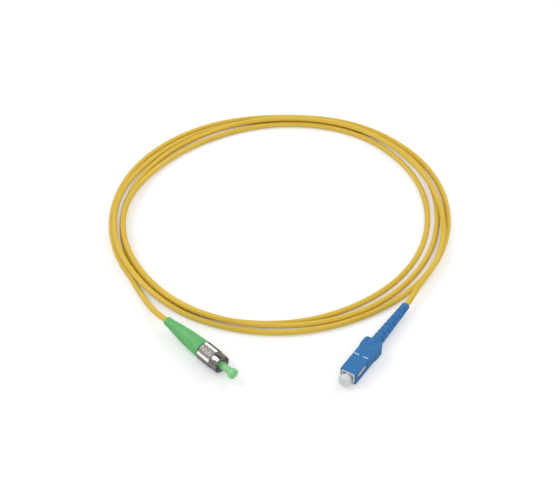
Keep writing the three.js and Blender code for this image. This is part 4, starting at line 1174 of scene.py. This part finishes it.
@dataclass
class PushPullPlug:
    """The plug with the blue grip, the white frame, the segmented boot and the milky cap."""

    place: Placement = Placement((29.6, -22.6), -122.4, 4.1)
    length: float = 26.0
    width: float = 9.0
    height: float = 7.4
    rear_width: float = 10.0
    flare: float = 7.0
    ease: float = 1.6
    nose: float = 0.25
    tail: tuple[float, float] = (1.5, 1.7)  # length and width of the rear corners' rounding
    edge: float = 0.6
    key_width: float = 2.2
    key_height: float = 0.4
    key_length: float = 9.0
    key_setback: float = 0.6
    frame_width: float = 7.2
    frame_height: float = 5.8
    frame_front: float = 0.4
    frame_length: float = 20.9
    frame_wall: float = 0.6
    frame_gap: float = 0.2
    cavity: float = 5.6
    lip: float = 1.0
    bore: float = 4.6
    window: tuple[float, float] = (-11.2, -1.9)
    window_height: float = 3.9
    recess: tuple[float, float] = (2.4, -0.6)  # height and middle of the frame's side openings
    latch: float = 1.6
    ledge: tuple[float, float] = (-18.2, -16.6)
    ledge_proud: float = 0.4
    mark_x: float = -12.4
    mark_length: float = 3.0
    mark_width: float = 0.9
    mark_offset: float = 2.6
    mark_depth: float = 0.2
    mark_slack: float = 0.04
    boot_front: float = 6.1
    boot_rear: float = 4.3
    boot_length: float = 33.0
    boot_lip: float = 0.35
    slots: int = 9
    slot_pitch: float = 3.1
    slot_width: float = 1.1
    slot_depth: float = 0.42
    slot_edge: float = 0.22
    web_width: float = 2.2
    least_radius: float = 1.95  # what a slot leaves of the boot, and what it leaves round the crimp sleeve
    neck_radius: float = 2.45
    cap_stem: float = 4.4
    cap_head: float = 6.4
    cap_head_length: float = 3.8
    cap_dome: tuple[float, float] = (1.9, 2.3)  # how deep and how wide the head's front rounds off

    def __post_init__(self) -> None:
        """Works out the stations along the plug."""
        self.frame_rear = self.frame_front - self.frame_length
        self.lip_front = self.frame_front - self.cavity
        self.lip_rear = self.lip_front - self.lip
        self.boot_end = -self.length - self.boot_length
        self.innards = Innards(
            "sc", self.place, self.lip_rear, self.frame_rear, 2.9, 10.5, self.bore, self.frame_height,
            rear_body_finish="steel",
        )

    def build(self) -> None:
        """Builds every piece of the plug."""
        self.innards.build("sc_ferrule_set")
        fit = self.place.fit
        fit("sc_grip", self.grip(), "grip_blue", "sc_grip_shell")
        fit("sc_plug_frame", self.frame(), "frame_white")
        fit("sc_boot", self.boot(), "boot_blue")
        fit("sc_dust_cap", self.cap(), "cap_clear", "sc_cap")
        for side in Side:
            piece = self.place.settle(self.mark(side), f"sc_mark_{side.name.lower()}", "mark_paint")
            joined(piece, "sc_grip_shell", "frame_white")

    def half_width(self, x: float) -> float:
        """Half the grip's width at x: narrow, then the finger grip, then rounded off at the rear."""
        waist = -self.length + self.flare
        share = min(max((waist + self.ease - x) / (2 * self.ease), 0.0), 1.0)
        swell = (self.rear_width - self.width) / 2 * share * share * (3 - 2 * share)
        into = min((x + self.length) / self.tail[0], 1.0)
        return self.width / 2 + swell - self.tail[1] * (1 - math.sqrt(1 - (1 - into) ** 2))

    def grip(self) -> Piece:
        """The blue grip, hollow from end to end, with its windows, its mark recesses and its key rib."""
        rear, reach = -self.length, self.tail[0]
        corner = [rear + reach * (1 - math.cos(math.radians(9 * k))) for k in range(11)]
        flare = spaced(rear + reach + 0.5, rear + self.flare + self.ease + 0.4, 0.4)
        stations = [(x, 0.0) for x in [*corner, *flare, -12.0, -6.0]]
        for k in range(6):
            angle = math.radians(18 * k)
            stations.append((-self.nose * (1 - math.sin(angle)), self.nose * (1 - math.cos(angle))))
        piece = lofted([
            section(x, 2 * (self.half_width(x) - inset), self.height - 2 * inset, self.edge)
            for x, inset in stations
        ])
        sunk = 0.4  # how far the key rib reaches into the grip
        key_front, below = -self.key_setback, -(self.height + self.key_height - sunk) / 2
        key = bar(key_front - self.key_length, key_front, self.key_width, self.key_height + sunk, z=below)
        piece = combined(piece, "UNION", [key])
        gap = 2 * self.frame_gap
        mouth, boot_room = self.innards.sleeve_front + 2 * SEAT, self.boot_front / 2 + RUN
        pocket = self.frame_width + 2 * self.ledge_proud + gap
        cutters = [
            bar(rear - 1, 1, self.frame_width + gap, self.frame_height + gap, 0.5),
            turned([(rear - 1, 0), (rear - 1, boot_room), (mouth, boot_room), (mouth, 0)], FINE),
            bar(self.ledge[0] - SEAT, self.ledge[1] + SEAT + self.latch, pocket, self.window_height),
            bar(*self.window, self.width + 2, self.window_height),
        ]
        piece = softened(combined(piece, "DIFFERENCE", cutters), 0.08)
        marks = [self.mark_bar(side, 0.0, 2 * self.mark_depth, self.height / 2) for side in Side]
        return flattened(combined(piece, "DIFFERENCE", marks))

    def mark_bar(self, side: Side, slack: float, height: float, z: float) -> Piece:
        """A bar at one of the two marks, smaller all round by the slack."""
        reach = self.mark_width / 2 - slack
        across, y = self.mark_length - 2 * slack, side.value * self.mark_offset
        return bar(self.mark_x - reach, self.mark_x + reach, across, height, 0.0, y, z)

    def mark(self, side: Side) -> Piece:
        """The paint in one of the two marks that show how far the plug goes in."""
        middle = self.height / 2 - self.mark_depth + 0.11
        return softened(self.mark_bar(side, self.mark_slack, 0.15, middle), 0.05)

    def frame(self) -> Piece:
        """The white frame: open round the ferrule, with ledges, and openings beside its cavity."""
        rear, front = self.frame_rear, self.frame_front
        piece = bar(rear, front, self.frame_width, self.frame_height, 0.6)
        ledge_width = self.frame_width + 2 * self.ledge_proud
        piece = combined(piece, "UNION", [bar(*self.ledge, ledge_width, self.window_height - 0.5)])
        throat, bore, hole_front = FERRULE_D / 2 + 2 * FIT, self.bore / 2, self.lip_front + 0.5
        hole = turned([
            (rear - 1, 0), (rear - 1, bore), (self.lip_rear, bore), (self.lip_rear, throat),
            (hole_front, throat), (hole_front, 0),
        ], FINE)
        inner_width = self.frame_width - 2 * self.frame_wall
        cutters = [bar(self.lip_front, front + 1, inner_width, self.cap_stem + 2 * RUN, 0.5), hole]
        deep = (self.frame_width - self.bore) / 2 - 0.4
        start, end = self.window[0] + 0.6, self.window[1] - 0.5
        for side in Side:
            y = side.value * self.frame_width / 2
            cutters.append(bar(start, end, 2 * deep, self.recess[0], 0.0, y, self.recess[1]))
        return softened(combined(piece, "DIFFERENCE", cutters), 0.12)

    def boot(self) -> Piece:
        """The blue boot, its rings parted by slots so that it bends."""
        front, rear = self.boot_front / 2, self.boot_rear / 2
        straight, taper = self.boot_end + self.boot_lip, -self.length - self.latch - 1.0
        slope = (front - rear) / (taper - straight)
        outer = [
            (self.boot_end, rear - self.boot_lip, 0.3), (straight, rear, 0.3),
            *((x, rear + slope * (x - straight)) for x in spaced(self.boot_end + 1.0, taper, 0.13)),
            (self.innards.sleeve_front, front, 0.2),
        ]
        piece = reshaped(
            tube(outer, self.innards.boot_bore(self.boot_end, self.innards.sleeve_front), 144),
            slots_tree(), finish("boot_blue"), first_slot=taper - 1.5 * self.slot_width,
            pitch=self.slot_pitch, slots=self.slots, slot_width=self.slot_width, depth=self.slot_depth,
            web_width=self.web_width, soft_edge=self.slot_edge, least_radius=self.least_radius,
            neck_radius=self.neck_radius, neck_rear=self.innards.sleeve_rear - SEAT - 0.1,
        )
        return smoothed(piece, 50.0)

    def cap(self) -> Piece:
        """The milky cap: a stem over the ferrule and a round head."""
        stem, head = self.cap_stem / 2, self.cap_head / 2
        head_rear = self.frame_front + self.innards.travel + SEAT
        outline = self.innards.cap_stem(self.lip_front, stem, 0.3)
        outline += [(head_rear, stem, 0.2), (head_rear, head, 0.6)]
        front, (deep, wide) = head_rear + self.cap_head_length, self.cap_dome
        for k in range(13):
            angle = math.radians(7.5 * k)
            outline.append((front - deep * (1 - math.sin(angle)), head - wide * (1 - math.cos(angle))))
        return turned([*outline, (front, 0)], FINE, steps=8)


# ------------------------------------------------------------------ the cable
@dataclass
class Cable:
    """The cable: straight out of each boot, along a short route, and round in a loose coil between."""

    left: Placement
    left_stations: tuple[float, float]  # where the jacket starts in the boot, and where the boot ends
    right: Placement
    right_stations: tuple[float, float]
    centre: tuple[float, float] = (-3.5, 101.0)
    radius: float = 88.0
    pitch: float = 3.45  # centre to centre of strands that touch
    first_hour: float = 210.0  # degrees, eight o'clock
    spacing: float = 1.6
    facets: int = 20

    # One row a turn, one column an hour: how far each pass lies outside the mean radius, and how far
    # it is lifted, 0 on the table and 1 on top of a strand. The first value is where the coil starts.
    pass_radius = (
        (5.4,),
        (5.4, 5.8, 5.0, 3.4, 6.8, 6.8, 4.8, 3.0, 1.9, 2.8, 3.6, 4.2),
        (3.5, 2.1, 1.3, -0.1, 3.2, 3.1, -1.0, -2.4, -1.8, -0.6, 1.3, 0.0),
        (-1.7, -5.8, -6.7, -3.8, -1.4, -3.7, -6.5, -7.6, -7.0, -3.8, -0.5, 0.4),
        (-0.7, -1.5, -2.5, -1.9, 0.9, -0.6, 1.1, 4.4),
    )
    pass_lift = (
        (0,),
        (0, 0, 0, 0, 0, 0, 0, 0, 0, 0, 0, 0.94),
        (0.96, 0.2, 0, 0, 0, 0, 0, 0, 0, 0.46, 0.9, 1.02),
        (1.02, 0.26, 0, 0, 0, 0, 0, 0, 0, 0, 0, 0),
        (0, 0, 0.38, 0.9, 0.81, 1.02, 0.99, 1.02),
    )
    left_route = ((-64.8, 18.9, 4.6), (-69.0, 24.8, 3.2), (-74.0, 33.8, 1.9), (-79.0, 43.6, 1.5))
    right_route = ((64.3, 32.7, 4.2), (66.8, 37.8, 4.4), (69.8, 43.4, 4.8))

    def __post_init__(self) -> None:
        """Lists the passes in one row."""
        self.radii = [value for row in self.pass_radius for value in row]
        self.lifts = [value for row in self.pass_lift for value in row]
        self.hours = len(self.radii) - 1

    def coil_point(self, hours: float) -> Vector:
        """The coil's centreline at a number of hours past eight o'clock."""
        angle = math.radians(self.first_hour - 360 / 12 * hours)
        r = self.radius + smooth_at(self.radii, hours)
        z = JACKET_D / 2 + self.pitch * max(0.0, smooth_at(self.lifts, hours))
        x, y = self.centre
        return Vector((x + r * math.cos(angle), y + r * math.sin(angle), z))

    def lead(
        self, place: Placement, stations: tuple[float, float], route: Sequence, end: Vector, heading: Vector
    ) -> list[Vector]:
        """The cable from inside a boot to the coil's end.

        Args:
            place: where the plug lies.
            stations: where the jacket starts in the boot, and where the boot ends.
            route: the points in between.
            end: the coil's end.
            heading: the way that the coil would run on past that end.

        Returns:
            Points close together along the lead, without the coil's end.
        """
        inside, boot_end = stations
        axis = [place.at(x) for x in (inside, (inside + boot_end) / 2, boot_end, boot_end - 1.5)]
        last = end + heading * 0.3
        points = through([*axis, *map(Vector, route), last + heading * JACKET_D, last], self.spacing)
        return points[:-1]

    def line(self) -> list[Vector]:
        """The whole centreline, from the left boot to the right one."""
        nudge = 0.05
        start, end = self.coil_point(0), self.coil_point(self.hours)
        before = (start - self.coil_point(nudge)).normalized()
        after = (end - self.coil_point(self.hours - nudge)).normalized()
        length = 2 * math.pi * self.radius * self.hours / 12
        steps = round(length / self.spacing)
        coil = [self.coil_point(self.hours * i / steps) for i in range(steps + 1)]
        left = self.lead(self.left, self.left_stations, self.left_route, start, before)
        right = self.lead(self.right, self.right_stations, self.right_route, end, after)
        return [*left, *coil, *reversed(right)]

    def build(self) -> Piece:
        points = self.line()
        chain = bpy.data.meshes.new("line")
        chain.from_pydata(points, [(i, i + 1) for i in range(len(points) - 1)], [])
        piece = linked("cable_jacket", chain)
        sizes = {"diameter": JACKET_D, "facets": self.facets}
        piece = reshaped(piece, jacket_tree(), finish("jacket_yellow"), **sizes)
        piece.data.transform(Matrix.Scale(MM, 4))
        joined(smoothed(piece), "cord", "jacket_yellow", "fc_lead", "cord_coil", "sc_lead")
        path = [point * MM for point in points]
        length = sum((b - a).length for a, b in zip(path, path[1:]))
        log.info("cable: %.3f m from crimp to crimp", length)
        return piece


def smooth_at(values: Sequence[float], place: float) -> float:
    """A value on a smooth curve through the listed values, at a place counted in list steps."""
    last = len(values) - 1
    i = min(math.floor(place), last - 1)
    f = place - i
    a, b, c, d = values[max(i - 1, 0)], values[i], values[i + 1], values[min(i + 2, last)]
    return 0.5 * (2 * b + (c - a) * f + (2 * a - 5 * b + 4 * c - d) * f**2 + (3 * b - a - 3 * c + d) * f**3)


def through(knots: Sequence[Vector], spacing: float) -> list[Vector]:
    """Points about the spacing apart on a smooth curve through the knots.

    Args:
        knots: the points that it passes through. It is paced by the root of each span between them.
        spacing: the distance between points.

    Returns:
        The points, from the first knot to the last.
    """
    first, last = 2 * knots[0] - knots[1], 2 * knots[-1] - knots[-2]
    padded = [first, *knots, last]
    points: list[Vector] = []
    for p0, p1, p2, p3 in zip(padded, padded[1:], padded[2:], padded[3:]):
        t0, t1, t2 = ((b - a).length ** 0.5 for a, b in ((p0, p1), (p1, p2), (p2, p3)))
        m1 = t1 * ((p1 - p0) / t0 - (p2 - p0) / (t0 + t1) + (p2 - p1) / t1)
        m2 = t1 * ((p2 - p1) / t1 - (p3 - p1) / (t1 + t2) + (p3 - p2) / t2)
        steps = max(1, math.ceil((p2 - p1).length / spacing))
        for k in range(steps):
            f = k / steps
            points.append(
                (2 * f**3 - 3 * f**2 + 1) * p1 + (f**3 - 2 * f**2 + f) * m1
                + (3 * f**2 - 2 * f**3) * p2 + (f**3 - f**2) * m2
            )
    points.append(knots[-1].copy())
    return points


# ------------------------------------------------------------------ the studio
def aim(thing: Piece, way: Vector) -> None:
    """Turns a light or the camera to look along a way."""
    thing.rotation_euler = way.to_track_quat("-Z", "Y").to_euler()


def rays(g: Graph) -> tuple[Wire, Wire]:
    """Whether a ray is one that the camera sees by, straight or through a cap, and whether it is gloss."""
    path = {wire.socket.name: wire for wire in g.all_of("ShaderNodeLightPath")}
    return path["Is Camera Ray"].to("MAXIMUM", path["Is Transmission Ray"]), path["Is Glossy Ray"]


@dataclass
class Studio:
    """A white table under a large soft light, and the camera."""

    target: tuple[float, float, float] = (-0.0038, 0.0730, 0.0)
    distance: float = 0.790
    elevation: float = 42.0
    lens: float = 93.857
    sensor: float = 36.0
    floor_size: float = 12.0
    floor_drop: float = 0.05 * MM
    floor_shade: float = 0.82
    # painted shade: the floor's grey where gloss sees it, darker than its own, so the metal reflects a dim
    # floor
    floor_painted_shade_in_gloss: float = 0.42
    floor_lift: float = 0.3  # light that the floor adds of its own, where it is seen
    soft_power: float = 4.6
    back_power: float = 4.5
    front_power: float = 2.4
    fill: float = 0.76

    # What gloss sees of the room: how bright it is at each height, 0 at the horizon and 1 overhead.
    room = ((0.0, 0.05), (0.12, 0.15), (0.25, 0.6), (0.5, 0.4), (0.8, 0.12), (1.0, 0.2))

    def build(self) -> None:
        """Sets up the camera, the floor, the light and the world."""
        self.camera()
        self.floor()
        self.softbox("key_light", (-0.91, 0.35, 1.02), 0.8, self.soft_power)
        self.softbox("back_light", (0.75, 0.85, 0.9), 0.8, self.back_power, in_gloss=False)
        self.softbox("front_light", (0.1, -1.1, 0.5), 0.9, self.front_power, in_gloss=False)
        self.world()
        bpy.context.scene.view_settings.view_transform = "Standard"

    def camera(self) -> None:
        """The camera at the photograph's angle."""
        data = bpy.data.cameras.new("camera")
        data.lens = self.lens
        data.sensor_width = self.sensor
        camera = linked("camera", data)
        lift = math.radians(self.elevation)
        away = Vector((0, -math.cos(lift), math.sin(lift)))
        camera.location = Vector(self.target) + away * self.distance
        aim(camera, -away)
        bpy.context.scene.camera = camera

    def floor(self) -> None:
        """The white floor, which keeps the cord's soft shadow, and shows painted shade in gloss."""
        half, z = self.floor_size / 2, -self.floor_drop
        data = bpy.data.meshes.new("floor")
        data.from_pydata([(half * u, half * v, z) for u, v in QUARTERS], [], [range(4)])
        material = bpy.data.materials.new("floor_white")
        g = shaded(material)
        seen, gloss = rays(g)
        # painted shade: glossy rays see the floor in a darker grey than the camera does
        shades = ((*[shade] * 3, 1.0) for shade in (self.floor_shade, self.floor_painted_shade_in_gloss))
        matt = g.get("ShaderNodeBsdfDiffuse", {"Color": g.mix(gloss, *shades)})
        glow = g.get("ShaderNodeEmission", {"Strength": seen * self.floor_lift})
        g.add("ShaderNodeOutputMaterial", {0: g.get("ShaderNodeAddShader", {0: matt, 1: glow})})
        data.materials.append(material)
        linked("floor", data)

    def softbox(
        self, name: str, where: tuple[float, float, float], size: float, power: float, in_gloss: bool = True
    ) -> None:
        """A large square light that faces the middle of the cord, and shows in gloss if asked."""
        data = bpy.data.lights.new(name, "AREA")
        data.size = size
        data.energy = power
        light = linked(name, data)
        light.location = where
        light.visible_glossy = in_gloss
        aim(light, Vector(self.target) - light.location)

    def world(self) -> None:
        """The surround: white where it is seen, a room with a bright band in gloss, and low as light."""
        world = bpy.data.worlds.new("surround")
        g = shaded(world)
        seen, gloss = rays(g)
        up = g.parts(g.get("ShaderNodeTexCoord", output="Generated"))[2]
        levels = g.add("ShaderNodeValToRGB", {0: up})
        ramp = levels.color_ramp.elements
        for place, level in self.room:
            stop = ramp[0] if place == 0.0 else ramp[-1] if place == 1.0 else ramp.new(place)
            stop.color = (*[0.5 * level] * 3, 1.0)
        room = Wire(g, levels.outputs[0]) * 2.0
        strength = seen.to("MAXIMUM", g.mix(gloss, self.fill, room))
        g.add("ShaderNodeOutputWorld", {0: g.get("ShaderNodeBackground", {1: strength})})
        bpy.context.scene.world = world


def main() -> None:
    """Loads the frame and builds the cord round it."""
    logging.basicConfig(level=logging.INFO, format="%(name)s: %(message)s")
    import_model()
    Studio().build()
    left, right = ScrewPlug(), PushPullPlug()
    ends = [(plug.place, (plug.innards.jacket_front, plug.boot_end)) for plug in (left, right)]
    Cable(*ends[0], *ends[1]).build()
    left.build()
    right.build()


if __name__ == "__main__":
    main()
